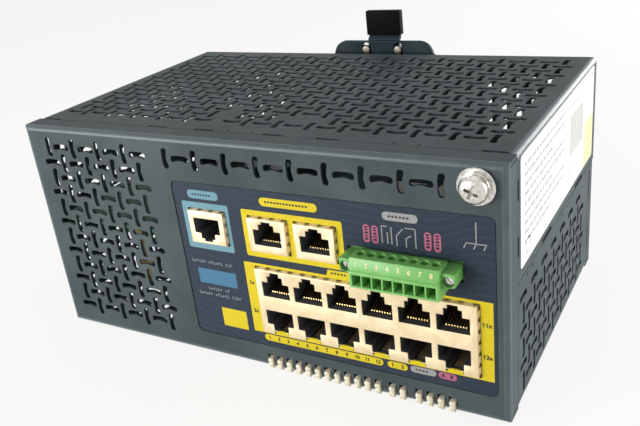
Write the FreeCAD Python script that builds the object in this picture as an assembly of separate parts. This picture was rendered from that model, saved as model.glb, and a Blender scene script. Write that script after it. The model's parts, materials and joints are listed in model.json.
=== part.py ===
"""Industrial Ethernet switch in a folded sheet-metal case, with a sprung adapter for a 35 mm rail.

Millimetres. The origin is the centre of the case's underside: +X to the right as seen from the
front, +Y to the rear, +Z up. Every separate piece is written to parts/NAME.step.
"""
import FreeCAD, Part
import os
from math import pi, cos, sin

Vec = FreeCAD.Vector

# ---- case -------------------------------------------------------------------------------
case_width = 206.0
case_height = 95.0
case_depth = 128.0
sheet = 1.2                    # thickness of the folded steel
bend = 1.8                     # outside radius of its folds
seam = 0.3                     # gap where two case parts meet
flange = 9.3                   # depth of the front pan, and of the rear pan's lower half
split_height = 49.5            # where the cover's sides meet the chassis' sides

half_width = case_width / 2
front = -case_depth / 2
rear = case_depth / 2
cover_front = front + flange + seam

# ---- vents ------------------------------------------------------------------------------
slot_length = 8.3
slot_width = 2.3
vent_pitch = 6.88
front_vent = dict(columns=8, rows=12, left=12.1, top=8.7)
front_row_slots = 17           # the single row above the label
front_row_left = 74.4
front_row_pitch = 6.915
top_vent = dict(columns=28, rows=15, pitch=6.915, left=9.05, front=21.6)
blank_cells = {(11, 0), (11, 1), (11, 2), (15, 1), (16, 1), (17, 1)}

# ---- seams between the case parts, from the case's left side, front and bottom -----------
roof_notches = (7.0, 64.6, 87.4, 117.8, 140.0, 199.0)
roof_tongues = ((37.0, 9.0), (103.0, 11.0), (169.0, 9.0))
floor_tongues = (40.0, 90.0)
rear_lap = 4.0                 # how far the rear panel's tucked part runs down inside its lower part
side_notches = (46.5, 98.5)
cheek_notches = (82.8, 63.2)

# ---- label and windows in the front (measured from the case's lower left corner) ----------
label_box = (74.7, 202.0, 9.9, 77.6)
label_corner = 2.5
recess_depth = 0.5
label_sheet = 0.25
side_label_box = (12.2, 122.5, 53.6, 93.0)

# ---- jacks ------------------------------------------------------------------------------
jack_pitch = 13.97
jack_opening = 11.8            # width of the mouth
jack_mouth = 6.3               # height of the mouth below its shoulders
jack_step = (6.6, 2.3)         # first step of the latch notch: width, height
jack_notch = (3.8, 1.1)        # second step
jack_depth = 13.0              # how far a plug goes in
shell_sheet = 0.3              # the jacks' metal shells
shell_proud = 1.2              # how far the shells stand out of the front
wall_clear = 0.1               # plastic inside its shell
window_clear = 0.6             # round a shell, in the front and the label
insert_lip = 0.12              # how far the plastic shows inside the metal's mouth
tab_clear = 0.25               # label tab in a notch
tab_height = 1.1

block_columns = 6
block_side = 1.49              # each side of the block, beyond its six columns
block_width = block_columns * jack_pitch + 2 * block_side
block_height = 28.0
block_depth = 25.0
block_margin = 6.4             # from the block's right side to the label's
block_centre = label_box[1] - block_margin - block_width / 2
block_bottom = 17.2
lower_mouth_top = 10.6         # above the block's bottom
upper_mouth_bottom = 16.6
block_step_extra = 0.9         # the block's notches are a little taller than a single jack's
block_row_split = 13.6         # where the two rows of bodies meet, above the block's bottom
insert_gap = 0.1               # between neighbouring bodies

single_width = 16.2
single_height = 13.5
single_depth = 18.0
single_bottom = 52.8
single_mouth_rise = 2.9        # mouth's lower edge above the jack's bottom
uplink_centres = (116.9, 136.8)
console_centre = 89.6

contacts_per_jack = 8
contact_pitch = 1.02
contact_width = 0.4
contact_thick = 0.6
contact_start = 5.2            # behind the mouth
contact_rise = 3.2

# ---- terminal connector -------------------------------------------------------------------
poles = 8
pole_pitch = 3.81
terminal_centre = 170.2
header_size = (41.2, 12.0, 7.4)
header_wall = 0.8
pin_half = 0.5
pin_reach = 3.6
pin_stand = 0.8
clamp_radius = 1.3
flange_head = 1.75
flange_shank = 1.2
plug_body = (32.0, 10.8)       # width and height of the part in front of the label
plug_bottom = 50.0
plug_front = 9.4
plug_top_front = 8.3           # its front face leans back towards the top
ear_width = 4.6
ear_front = 7.3
ear_height = 5.8
entry_size = (3.0, 3.3)
entry_depth = 7.0
entry_rise = 1.5

# ---- ground screw ---------------------------------------------------------------------------
ground_place = (196.2, 87.4)
flat_washer_radius = 6.2
flat_washer_thick = 1.1
lock_washer_radius = 5.0
lock_washer_thick = 1.0
ground_head_radius = 4.7
ground_head_height = 3.6
ground_head_rim = 1.2
ground_thread_radius = 2.5

# ---- light pipes ------------------------------------------------------------------------------
pipe_width = 2.7
pipe_pitch = 4.26
pipe_groups = {"port": (12, 109.6), "uplink": (2, 162.2), "status": (4, 172.7)}
pipe_slot_top = 5.9
pipe_slot_clear = 0.15
led_height = 0.8
led_y = (8.6, 11.0)

# ---- boards -------------------------------------------------------------------------------
board_thick = 1.6
lower_board_bottom = block_bottom - board_thick
upper_board_bottom = single_bottom - board_thick
upper_board = (5.0, 201.0, 3.0, 46.0)      # left, right, front, rear
lower_board = (70.0, 201.0, 3.0, 122.0)
power_board = (6.0, 66.0, 52.0, 122.0)
post_radius = 2.7
board_screw_height = 1.8
lower_posts = ((76.0, 16.0), (196.0, 32.0), (76.0, 116.0), (196.0, 116.0))
power_posts = ((12.0, 58.0), (60.0, 58.0), (12.0, 116.0), (60.0, 116.0))
tall_posts = ((76.0, 40.0), (197.5, 41.0))
shelf_posts = ((12.0, 40.0), (46.0, 40.0))
lower_top = lower_board_bottom + board_thick
upper_top = upper_board_bottom + board_thick
header_bottom = upper_top
chip_place = (132.0, 62.0)
chip_size = 27.0
chip_height = 1.4
sink_size = 30.0
sink_base = 2.5
fin_count = 6
fin_thick = 1.2
fin_height = 12.0

# ---- rail adapter -------------------------------------------------------------------------
adapter_gap = 8.0              # between the rear of the case and the plate
adapter_sheet = 2.0
adapter_width = 84.0
adapter_bottom = 6.0
adapter_shoulder = 92.2
tongue_width = 53.0
tongue_top = 99.4
tongue_corner = 7.0
tongue_fillet = 2.5
guide_slot_width = 4.8
guide_slot_offset = 8.5
guide_slot_top = 98.6
adapter_foot = 11.0
adapter_screw_head = 3.0
adapter_screw_shank = 1.5
latch_travel = 6.0
guide_pin_radius = 1.9
latch_sheet = 1.5
latch_clear = 0.15
latch_width = 16.6
latch_shoulder = 13.0          # half the width of the guided part
latch_jog = 2.0
grip_size = (18.0, 4.0, 11.8)
grip_bottom = 101.6
grip_pocket = 9.6
rail_height = 35.0
rail_middle = 46.0
rail_thick = 1.0
rail_clear = 0.25
saddle_width = 12.0
saddle_offset = 26.0
saddle_thick = 3.2
hook_reach = 2.2
pad_height = 0.4               # the saddle's pad, which ends just below its hook
pad_below_hook = 1.0
spring_radius = 2.1
spring_wire = 0.6
spring_turns = 6
spring_low = 70.5
spring_high = 88.0
spring_room = 3.2
tab_half_width = 2.6           # the two tabs that hold the spring's ends


def x_at(from_left):
    """X of a place given from the case's left side."""
    return from_left - half_width


def y_at(from_front):
    """Y of a place given from the case's front."""
    return front + from_front


def box(x0, x1, y0, y1, z0, z1):
    return Part.makeBox(x1 - x0, y1 - y0, z1 - z0, Vec(x0, y0, z0))


def cylinder(radius, length, base, axis):
    return Part.makeCylinder(radius, length, Vec(*base), Vec(*axis))


def flat_face(points):
    corners = [Vec(*p) for p in points]
    return Part.Face(Part.makePolygon(corners + corners[:1]))


def prism(points, run):
    """A flat outline of 3-D points, pushed along a vector."""
    return flat_face(points).extrude(Vec(*run))


def sided_bar(radius, base, run, sides=6):
    """An upright bar with flat sides, six if not told otherwise, pushed along an axis."""
    run = Vec(*run)
    if abs(run.y) > 0:
        u, v = Vec(1, 0, 0), Vec(0, 0, 1)
    else:
        u, v = Vec(1, 0, 0), Vec(0, 1, 0)
    points = []
    for k in range(sides):
        angle = 2 * pi * (k + 0.5) / sides
        points.append(Vec(*base) + u * (radius * cos(angle)) + v * (radius * sin(angle)))
    return prism(points, run)


def fused(shapes):
    shapes = list(shapes)
    return shapes[0].multiFuse(shapes[1:]).removeSplitter() if len(shapes) > 1 else shapes[0]


def group(shapes):
    return Part.makeCompound(list(shapes))


def rounded(shape, radius, wanted):
    """The shape with its straight edges that pass the test rounded off."""
    edges = [e for e in shape.Edges if e.Curve.TypeId == "Part::GeomLine" and wanted(e)]
    return shape.makeFillet(radius, edges) if edges else shape


def along(edge, axis):
    run = edge.Vertexes[1].Point - edge.Vertexes[0].Point
    return abs(abs(run.dot(Vec(*axis))) - run.Length) < 1e-6


def at_level(edge, axis, value):
    return all(abs(v.Point.dot(Vec(*axis)) - value) < 1e-4 for v in edge.Vertexes)


# ---- vents --------------------------------------------------------------------------------
def slot_tool(centre, normal, long_way, length=slot_length, width=slot_width, depth=6 * sheet):
    """A straight vent slot's cutter, centred on the sheet it goes through."""
    sizes = [abs(n) * depth + abs(l) * length for n, l in zip(normal, long_way)]
    sizes = [s if s else width for s in sizes]
    corner = [c - s / 2 for c, s in zip(centre, sizes)]
    return Part.makeBox(*sizes, Vec(*corner))


def lattice(columns, rows):
    """Cells of a basket-weave of slots: column, row, and whether the slot runs up the rows."""
    for row in range(rows):
        for column in range(columns):
            yield column, row, (row + column) % 2 == 0


def front_vent_tools():
    level = front + sheet / 2
    top = case_height - front_vent["top"]
    tools = []
    for column, row, upright in lattice(front_vent["columns"], front_vent["rows"]):
        x = x_at(front_vent["left"] + column * vent_pitch)
        long_way = (0, 0, 1) if upright else (1, 0, 0)
        tools.append(slot_tool((x, level, top - row * vent_pitch), (0, 1, 0), long_way))
    for index in range(front_row_slots):
        x = x_at(front_row_left + index * front_row_pitch)
        long_way = (1, 0, 0) if index % 2 else (0, 0, 1)
        tools.append(slot_tool((x, level, top), (0, 1, 0), long_way))
    return tools


def top_vent_tools():
    tools = []
    for column, row, upright in lattice(top_vent["columns"], top_vent["rows"]):
        if (column, row) in blank_cells:
            continue
        x = x_at(top_vent["left"] + column * top_vent["pitch"])
        y = y_at(top_vent["front"] + row * top_vent["pitch"])
        long_way = (1, 0, 0) if upright else (0, 1, 0)
        tools.append(slot_tool((x, y, case_height - sheet / 2), (0, 0, 1), long_way))
    return tools


# ---- jack outlines ----------------------------------------------------------------------
def mouth_outline(centre, base, up, y, grow=0.0, step_extra=0.0, open_to=None):
    """The stepped mouth of an RJ45 jack. up is 1 with the latch notch above, -1 below."""
    half = jack_opening / 2 + grow
    step_half = jack_step[0] / 2 + grow
    notch_half = jack_notch[0] / 2 + grow
    shoulder = jack_mouth + grow
    step = jack_mouth + jack_step[1] + step_extra / 2 + grow
    top = step + jack_notch[1] + step_extra / 2
    profile = [(-half, -grow), (half, -grow), (half, shoulder), (step_half, shoulder)]
    if open_to is None:
        profile += [(step_half, step), (notch_half, step), (notch_half, top),
                    (-notch_half, top), (-notch_half, step), (-step_half, step)]
    else:
        profile += [(step_half, open_to), (-step_half, open_to)]
    profile += [(-step_half, shoulder), (-half, shoulder)]
    return [(centre + u, y, base + up * v) for u, v in profile]


def block_mouths():
    """Centre X, base Z and direction of the notch for each mouth of the port block."""
    for column in range(block_columns):
        x = x_at(block_centre + (column - (block_columns - 1) / 2) * jack_pitch)
        yield x, block_bottom + upper_mouth_bottom, 1
        yield x, block_bottom + lower_mouth_top, -1


def mouth_cutter(mouth, y0, depth, grow=0.0, step_extra=0.0, open_to=None):
    x, base, up = mouth
    return prism(mouth_outline(x, base, up, y0, grow, step_extra, open_to), (0, depth, 0))


single_mouths = {
    "console": (x_at(console_centre), single_bottom + single_height - single_mouth_rise, -1),
    "uplink_1": (x_at(uplink_centres[0]), single_bottom + single_mouth_rise, 1),
    "uplink_2": (x_at(uplink_centres[1]), single_bottom + single_mouth_rise, 1),
}
shell_front = front - shell_proud
block_x = (x_at(block_centre) - block_width / 2, x_at(block_centre) + block_width / 2)
block_top = block_bottom + block_height
clamp_y = front - 4.6


# ---- folded case --------------------------------------------------------------------------
inner_half = half_width - sheet
under = case_height - sheet


def corner_reliefs():
    """Thin cuts along the front pan's corners, where its flanges meet and aren't welded."""
    tools = []
    for side in (-1, 1):
        for z0 in (0.9, case_height - 1.3):
            x0, x1 = sorted((side * (half_width - 2 * sheet), side * (half_width + 1)))
            tools.append(box(x0, x1, front + 2.6, front + flange + 1, z0, z0 + 0.4))
    return tools


def label_outline(y, inset, depth):
    left, right, low, high = label_box
    shape = box(x_at(left) + inset, x_at(right) - inset, y, y + depth, low + inset, high - inset)
    return rounded(shape, label_corner - inset, lambda e: along(e, (0, 1, 0)))


def notch_tabs(y0, depth, grow=0.0):
    """The label's tabs, one in the latch notch of each jack of the lower row."""
    half = jack_step[0] / 2 - tab_clear + grow
    return [box(x - half, x + half, y0, y0 + depth, block_bottom - 2 * window_clear,
                block_bottom + tab_height + grow) for x, base, up in block_mouths() if up < 0]


def front_windows(y0, depth):
    """Cutters for the windows that the connectors look out of."""
    tools = []
    for x, base, up in single_mouths.values():
        half = single_width / 2 + window_clear
        tools.append(box(x - half, x + half, y0, y0 + depth, single_bottom - window_clear,
                         single_bottom + single_height + window_clear))
    block = box(block_x[0] - window_clear, block_x[1] + window_clear, y0, y0 + depth,
                block_bottom - window_clear, block_top + window_clear)
    tools.append(block.cut(group(notch_tabs(y0, depth))))
    half = header_size[0] / 2 + 0.4
    tools.append(box(x_at(terminal_centre) - half, x_at(terminal_centre) + half, y0, y0 + depth,
                     header_bottom - 0.1, header_bottom + header_size[2] + 0.2))
    return tools


def pipe_places():
    for name, (count, first) in pipe_groups.items():
        for index in range(count):
            yield name, x_at(first + index * pipe_pitch)


def make_front_panel():
    """The front: a shallow pan with a recess for the label, vents, windows and pipe slots."""
    outer = box(-half_width, half_width, front, front + flange, 0, case_height)
    outer = rounded(outer, bend, lambda e: at_level(e, (0, 1, 0), front))
    inner = box(-inner_half, inner_half, front + sheet, front + flange + 1, sheet, under)
    tools = [inner, label_outline(front - 1, 0.0, 1 + recess_depth)]
    tools += front_vent_tools() + front_windows(front - 1, 6 * sheet)
    half = pipe_width / 2 + pipe_slot_clear
    for name, x in pipe_places():
        tools.append(box(x - half, x + half, front - 1, front + 3.2, -1, pipe_slot_top))
    x, z = x_at(ground_place[0]), ground_place[1]
    tools.append(sided_bar(ground_thread_radius, (x, front - 1, z), (0, 4 * sheet, 0)))
    return outer.cut(group(tools)).cut(group(corner_reliefs()))


def lap(side, z, y0, y1, height=8.0):
    """A tongue inside a side wall, that laps the next case part."""
    x0, x1 = sorted((side * inner_half, side * (inner_half - sheet)))
    return box(x0, x1, y0, y1, z - height / 2, z + height / 2)


def make_top_cover():
    """The upper shell: a vented roof with two sides, and tongues that slip under the front."""
    low = split_height + seam
    outer = box(-half_width, half_width, cover_front, rear, low, case_height)
    outer = rounded(outer, bend, lambda e: along(e, (0, 1, 0)) and at_level(e, (0, 0, 1), case_height))
    inner = box(-inner_half, inner_half, cover_front - 1, rear + 1, low - 1, under)
    tools = [inner] + top_vent_tools()
    for centre in roof_notches:
        tools.append(box(x_at(centre) - 4.4, x_at(centre) + 4.4, cover_front - 1, cover_front + 1.2,
                         under - 1, case_height + 1))
    for side in (-1, 1):
        for y in side_notches:
            tools.append(slot_tool((side * half_width, y_at(y), low), (1, 0, 0), (0, 1, 0), 13.0, 3.0))
        for z in cheek_notches:
            tools.append(slot_tool((side * half_width, cover_front, z), (1, 0, 0), (0, 0, 1), 7.2, 2.2))
    tongues = [box(x_at(c) - w / 2, x_at(c) + w / 2, y_at(3.4), y_at(17.2), under - sheet, under)
               for c, w in roof_tongues]
    for side in (-1, 1):
        tongues += [lap(side, z, y_at(3.4), y_at(16.0), 7.0) for z in (73.0, 54.5)]
    return fused([outer.cut(group(tools))] + tongues)


def make_lower_chassis():
    """The lower shell: a floor with two sides, and tongues that lap the other three parts."""
    y0, y1 = cover_front, rear - flange - seam
    outer = box(-half_width, half_width, y0, y1, 0, split_height)
    outer = rounded(outer, bend, lambda e: along(e, (0, 1, 0)) and at_level(e, (0, 0, 1), 0))
    inner = box(-inner_half, inner_half, y0 - 1, y1 + 1, sheet, split_height + 1)
    tongues = []
    for side in (-1, 1):
        for z in (11.0, 40.0):
            tongues.append(lap(side, z, y_at(3.4), y_at(12.5)))
            tongues.append(lap(side, z, y1 - 3.0, rear - 3.4))
        for y in (30.0, 76.0):
            tongues.append(lap(side, split_height + 2.0, y_at(y) - 8, y_at(y) + 8, 10.0))
    for x in floor_tongues:
        tongues.append(box(x_at(x) - 8, x_at(x) + 8, y_at(3.4), y_at(14.0), sheet, 2 * sheet))
        tongues.append(box(x_at(x) - 8, x_at(x) + 8, y1 - 4.0, rear - 3.4, sheet, 2 * sheet))
    return fused([outer.cut(inner)] + tongues)


def make_rear_panel():
    """A pan that closes the back: flush with the chassis below, tucked inside the cover above."""
    low = box(-half_width, half_width, rear - flange, rear, 0, split_height)
    low = rounded(low, bend, lambda e: (at_level(e, (0, 1, 0), rear)
                                        and not at_level(e, (0, 0, 1), split_height)))
    low = low.cut(box(-inner_half, inner_half, rear - flange - 1, rear - sheet, sheet, split_height + 1))
    step = split_height - rear_lap
    high = box(-inner_half, inner_half, rear - flange, rear, step, under)
    high = high.cut(box(-inner_half + sheet, inner_half - sheet, rear - flange - 1, rear - sheet,
                        step - 1, under - sheet))
    tools = [sided_bar(adapter_screw_shank, (x, rear - 3 * sheet, z), (0, 5 * sheet, 0))
             for x, z in adapter_screw_places()]
    return fused([low, high]).cut(group(tools))


# ---- labels ---------------------------------------------------------------------------------
def make_front_label():
    label = label_outline(front + recess_depth - label_sheet, 0.35, label_sheet)
    return label.cut(group(front_windows(front - 1, 4)))


def make_side_label():
    left, right, low, high = side_label_box
    return box(half_width, half_width + 0.2, y_at(left), y_at(right), low, high)


# ---- jacks ----------------------------------------------------------------------------------
def metal_shell(x0, x1, z0, z1, depth, cutters):
    """An open-backed box of thin plate, with the mouths cut in its front."""
    outer = box(x0, x1, shell_front, shell_front + depth, z0, z1)
    inner = box(x0 + shell_sheet, x1 - shell_sheet, shell_front + shell_sheet, shell_front + depth + 1,
                z0 + shell_sheet, z1 - shell_sheet)
    return outer.cut(inner).cut(group(cutters))


def jack_insert(x0, x1, z0, z1, depth, cutters):
    """A plastic jack body, with the cavity for its plug, a little smaller than the room it gets."""
    body = box(x0 + wall_clear, x1 - wall_clear, shell_front + shell_sheet, shell_front + depth - 1.0,
               z0 + wall_clear, z1 - wall_clear)
    return body.cut(group(cutters))


def mouth_contacts(mouth):
    """The row of eight spring wires in a mouth, as the strip that they spring from, rising to the back."""
    x, base, up = mouth
    near = shell_front + contact_start
    far = shell_front + shell_sheet + jack_depth
    half = ((contacts_per_jack - 1) * contact_pitch + contact_width) / 2
    profile = [(near, 0.0), (far, contact_rise), (far, contact_rise + contact_thick), (near, contact_thick)]
    return prism([(x - half, y, base + up * (w + insert_lip)) for y, w in profile], (2 * half, 0, 0))


def cavity(mouth, extra=0.0):
    return mouth_cutter(mouth, shell_front - 1, 1 + shell_sheet + jack_depth, -insert_lip, extra)


def block_insert(mouth, tab_room):
    """One jack's plastic body in the block. The bodies stand in two rows, back to back."""
    x, base, up = mouth
    half = jack_pitch / 2 - insert_gap / 2
    outside = block_top if up > 0 else block_bottom
    inside = block_bottom + block_row_split + up * insert_gap / 2
    z0, z1 = sorted((outside - up * shell_sheet, inside))
    hollows = [cavity(mouth, block_step_extra)] + tab_room
    return jack_insert(x - half, x + half, z0, z1, block_depth, hollows)


def make_block():
    size = (block_x[0], block_x[1], block_bottom, block_top, block_depth)
    through = 1 + 2 * shell_sheet
    tab_room = notch_tabs(shell_front - 1, 1 + shell_proud + 2 * sheet, tab_clear)
    shells = [mouth_cutter(mouth, shell_front - 1, through, 0.0, block_step_extra)
              for mouth in block_mouths()]
    inserts = [block_insert(mouth, tab_room) for mouth in block_mouths()]
    contacts = [mouth_contacts(mouth) for mouth in block_mouths()]
    return metal_shell(*size, shells + tab_room), group(inserts), group(contacts)


def make_single(name):
    mouth = single_mouths[name]
    size = (mouth[0] - single_width / 2, mouth[0] + single_width / 2, single_bottom,
            single_bottom + single_height, single_depth)
    shell = metal_shell(*size, [mouth_cutter(mouth, shell_front - 1, 1 + 2 * shell_sheet)])
    room = (size[0] + shell_sheet, size[1] - shell_sheet, size[2] + shell_sheet, size[3] - shell_sheet)
    return shell, jack_insert(*room, single_depth, [cavity(mouth)]), mouth_contacts(mouth)


# ---- terminal connector -----------------------------------------------------------------
header_front = front + 1.6
header_middle = header_bottom + header_size[2] / 2
plug_back = header_front + 6.0
plug_top = plug_bottom + plug_body[1]
ear_offset = plug_body[0] / 2 + ear_width / 2


def pole_places():
    for index in range(poles):
        yield x_at(terminal_centre) + (index - (poles - 1) / 2) * pole_pitch


def ear_places():
    return [x_at(terminal_centre) + side * ear_offset for side in (-1, 1)]


def make_terminal_header():
    """The fixed half of the connector: a shroud on the upper board, open to the front."""
    half, high = header_size[0] / 2, header_size[2] / 2
    x = x_at(terminal_centre)
    body = box(x - half, x + half, header_front, header_front + header_size[1],
               header_middle - high, header_middle + high)
    tools = [box(x - plug_body[0] / 2 + 0.4, x + plug_body[0] / 2 - 0.4, header_front - 1,
                 header_front + header_size[1] - 2.0, header_middle - high + header_wall,
                 header_middle + high - header_wall)]
    tools += [box(p - pin_half, p + pin_half, header_front, header_front + 20, header_middle - pin_half,
                  header_middle + pin_half) for p in pole_places()]
    tools += [sided_bar(flange_shank, (x, header_front - 1, header_middle), (0, 10, 0))
              for x in ear_places()]
    return body.cut(group(tools))


def make_header_pins():
    back = header_front + header_size[1] + pin_stand
    outline = [(plug_back - pin_reach, pin_half), (back + 2 * pin_half, pin_half), (back + 2 * pin_half, 0),
               (back, 0), (back, -pin_half), (plug_back - pin_reach, -pin_half)]
    down = upper_top - header_middle
    outline = [(y, down if z == 0 else z) for y, z in outline]
    return group(prism([(x - pin_half, y, header_middle + z) for y, z in outline], (2 * pin_half, 0, 0))
                 for x in pole_places())


def make_terminal_plug():
    """The plug-in half: wire entries in front, a screw over each, and an ear at each end."""
    x = x_at(terminal_centre)
    half = plug_body[0] / 2
    face = front - plug_front
    side = [(face - 0.3, plug_bottom), (front - 0.4, plug_bottom), (front - 0.4, plug_top - 0.7),
            (front - 1.2, plug_top), (front - plug_top_front, plug_top), (face, plug_top - 3.8),
            (face - 0.3, plug_top - 4.6)]
    body = prism([(x - half, y, z) for y, z in side], (plug_body[0], 0, 0))
    spigot = box(x - half + 0.6, x + half - 0.6, front - 0.6, plug_back, header_middle - 2.5,
                 header_middle + 2.5)
    ears = [box(p - ear_width / 2, p + ear_width / 2, front - ear_front, header_front,
                header_middle - ear_height / 2, header_middle + ear_height / 2) for p in ear_places()]
    tools = []
    for pole in pole_places():
        tools.append(box(pole - entry_size[0] / 2, pole + entry_size[0] / 2, face - 1, face + entry_depth,
                         plug_bottom + entry_rise, plug_bottom + entry_rise + entry_size[1]))
        tools.append(sided_bar(clamp_radius, (pole, clamp_y, plug_top - 5.4), (0, 0, 6.0), 8))
        tools.append(box(pole - pin_half - 0.1, pole + pin_half + 0.1, plug_back - pin_reach - 0.3,
                         plug_back + 1, header_middle - pin_half - 0.1, header_middle + pin_half + 0.1))
    for p in ear_places():
        place = (p, front - ear_front - 1, header_middle)
        tools.append(sided_bar(flange_head + 0.25, place, (0, 4.2, 0), 8))
        tools.append(sided_bar(flange_shank, (p, front - ear_front, header_middle), (0, 10, 0)))
    return fused([body, spigot] + ears).cut(group(tools))


def make_clamp_screws():
    return group(sided_bar(clamp_radius, (pole, clamp_y, plug_top - 5.4), (0, 0, 3.0), 8)
                 for pole in pole_places())


def make_flange_screws():
    screws = []
    for p in ear_places():
        seat = front - ear_front + 3.2
        head = sided_bar(flange_head, (p, seat - 2.2, header_middle), (0, 2.2, 0), 8)
        shank = sided_bar(flange_shank, (p, seat, header_middle), (0, header_front + 9.0 - seat, 0))
        screws.append(fused([head, shank]))
    return group(screws)


# ---- ground screw -----------------------------------------------------------------------
def ground_ring(radius, thick, y):
    x, z = x_at(ground_place[0]), ground_place[1]
    ring = cylinder(radius, thick, (x, y, z), (0, 1, 0))
    return ring.cut(sided_bar(ground_thread_radius, (x, y - 1, z), (0, thick + 2, 0)))


def make_ground_screw():
    """A pan-head screw: a domed head that seats on the lock washer."""
    x, z = x_at(ground_place[0]), ground_place[1]
    seat = front - flat_washer_thick - lock_washer_thick
    crown = ground_head_height - ground_head_rim
    round_radius = (ground_head_radius ** 2 + crown ** 2) / (2 * crown)
    disc = cylinder(ground_head_radius, ground_head_height, (x, seat - ground_head_height, z), (0, 1, 0))
    dome = Part.makeSphere(round_radius, Vec(x, seat - ground_head_height + round_radius, z))
    shank = sided_bar(ground_thread_radius, (x, seat, z), (0, front + sheet + 4.0 - seat, 0))
    return fused([disc.common(dome), shank])


# ---- light pipes --------------------------------------------------------------------------
def make_light_pipes(wanted):
    """Light guides: each runs forward from under its diode to a nose with two lobes."""
    top = lower_board_bottom - led_height
    side = [(-0.6, 5.2), (-1.4, 4.1), (-1.1, 2.9), (-1.8, 1.7), (-0.9, 0.45), (1.6, 0.45), (2.9, 1.7),
            (7.6, 2.2), (led_y[1], 5.2), (led_y[1], top), (led_y[0], top), (led_y[0], 5.2)]
    side = [(y_at(y), z) for y, z in side]
    return group(prism([(x - pipe_width / 2, y, z) for y, z in side], (pipe_width, 0, 0))
                 for name, x in pipe_places() if name == wanted)


def make_light_chips():
    return group(box(x - 1.0, x + 1.0, y_at(led_y[0] + 0.2), y_at(led_y[1] - 0.2),
                     lower_board_bottom - led_height, lower_board_bottom) for name, x in pipe_places())


# ---- boards and what they carry -----------------------------------------------------------
def board(outline, bottom):
    left, right, near, far = outline
    return box(x_at(left), x_at(right), y_at(near), y_at(far), bottom, bottom + board_thick)


def on_board(left, right, near, far, bottom, height):
    """A brick-shaped part standing on a board."""
    return box(x_at(left), x_at(right), y_at(near), y_at(far), bottom, bottom + height)


def posts(places, z0, z1):
    return [sided_bar(post_radius, (x_at(x), y_at(y), z0), (0, 0, z1 - z0)) for x, y in places]


def make_lower_posts():
    return group(posts(lower_posts + power_posts, sheet, lower_board_bottom))


def make_upper_posts():
    tall = posts(tall_posts, lower_top, upper_board_bottom)
    return group(tall + posts(shelf_posts, sheet, upper_board_bottom))


def make_board_screws():
    low = posts(lower_posts + power_posts, lower_top, lower_top + board_screw_height)
    return group(low + posts(tall_posts + shelf_posts, upper_top, upper_top + board_screw_height))


def chip_outline(height, bottom, size=chip_size):
    x, y = chip_place
    return on_board(x - size / 2, x + size / 2, y - size / 2, y + size / 2, bottom, height)


def make_heat_sink():
    """A base with a row of upright fins."""
    x, y = chip_place
    bottom = lower_top + chip_height
    left = x - sink_size / 2
    step = (sink_size - fin_thick) / (fin_count - 1)
    fins = [on_board(left + k * step, left + k * step + fin_thick, y - sink_size / 2, y + sink_size / 2,
                     bottom, fin_height) for k in range(fin_count)]
    return fused([chip_outline(sink_base, bottom, sink_size)] + fins)


def make_magnetics():
    lefts = (111.0, 132.0, 153.0, 174.0)
    return group(on_board(left, left + 16.0, 28.5, 38.5, lower_top, 6.0) for left in lefts)


def make_memory_chips():
    return group(on_board(x, x + 11.0, y, y + 18.0, lower_top, 1.1)
                 for x, y in ((84.0, 52.0), (98.0, 52.0), (158.0, 54.0)))


def make_power_transformer():
    core = on_board(16.0, 44.0, 72.0, 92.0, lower_top, 20.0)
    bobbin = on_board(19.0, 41.0, 68.0, 96.0, lower_top, 15.0)
    return fused([core, bobbin])


def make_power_capacitors():
    return group(sided_bar(6.3, (x_at(x), y_at(106.0), lower_top), (0, 0, 24.0), 12) for x in (54.0, 38.0))


# ---- rail adapter ---------------------------------------------------------------------------
plate_front = rear + adapter_gap
plate_rear = plate_front + adapter_sheet
slider_front = plate_rear + latch_clear
slider_rear = slider_front + latch_sheet
rail_seat = plate_rear + saddle_thick
rail_low = rail_middle - rail_height / 2
rail_high = rail_middle + rail_height / 2
rail_back = rail_seat + rail_thick + rail_clear
spring_y = plate_rear + spring_radius + latch_clear
slot_radius = guide_slot_width / 2
guide_pin_z = guide_slot_top - slot_radius - 1.0


def adapter_screw_places():
    x = adapter_width / 2 + adapter_foot / 2
    return [(s * x, z) for s in (-1, 1) for z in (20.0, 78.0)]


def guide_slot(x):
    """A round-ended slot for a guide pin, as long as the latch's travel needs."""
    low = guide_pin_z - latch_travel - 0.8
    high = guide_slot_top - slot_radius
    ends = [cylinder(slot_radius, adapter_sheet + 2, (x, plate_front - 1, z), (0, 1, 0))
            for z in (low, high)]
    middle = box(x - slot_radius, x + slot_radius, plate_front - 1, plate_rear + 1, low, high)
    return fused(ends + [middle])


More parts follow.
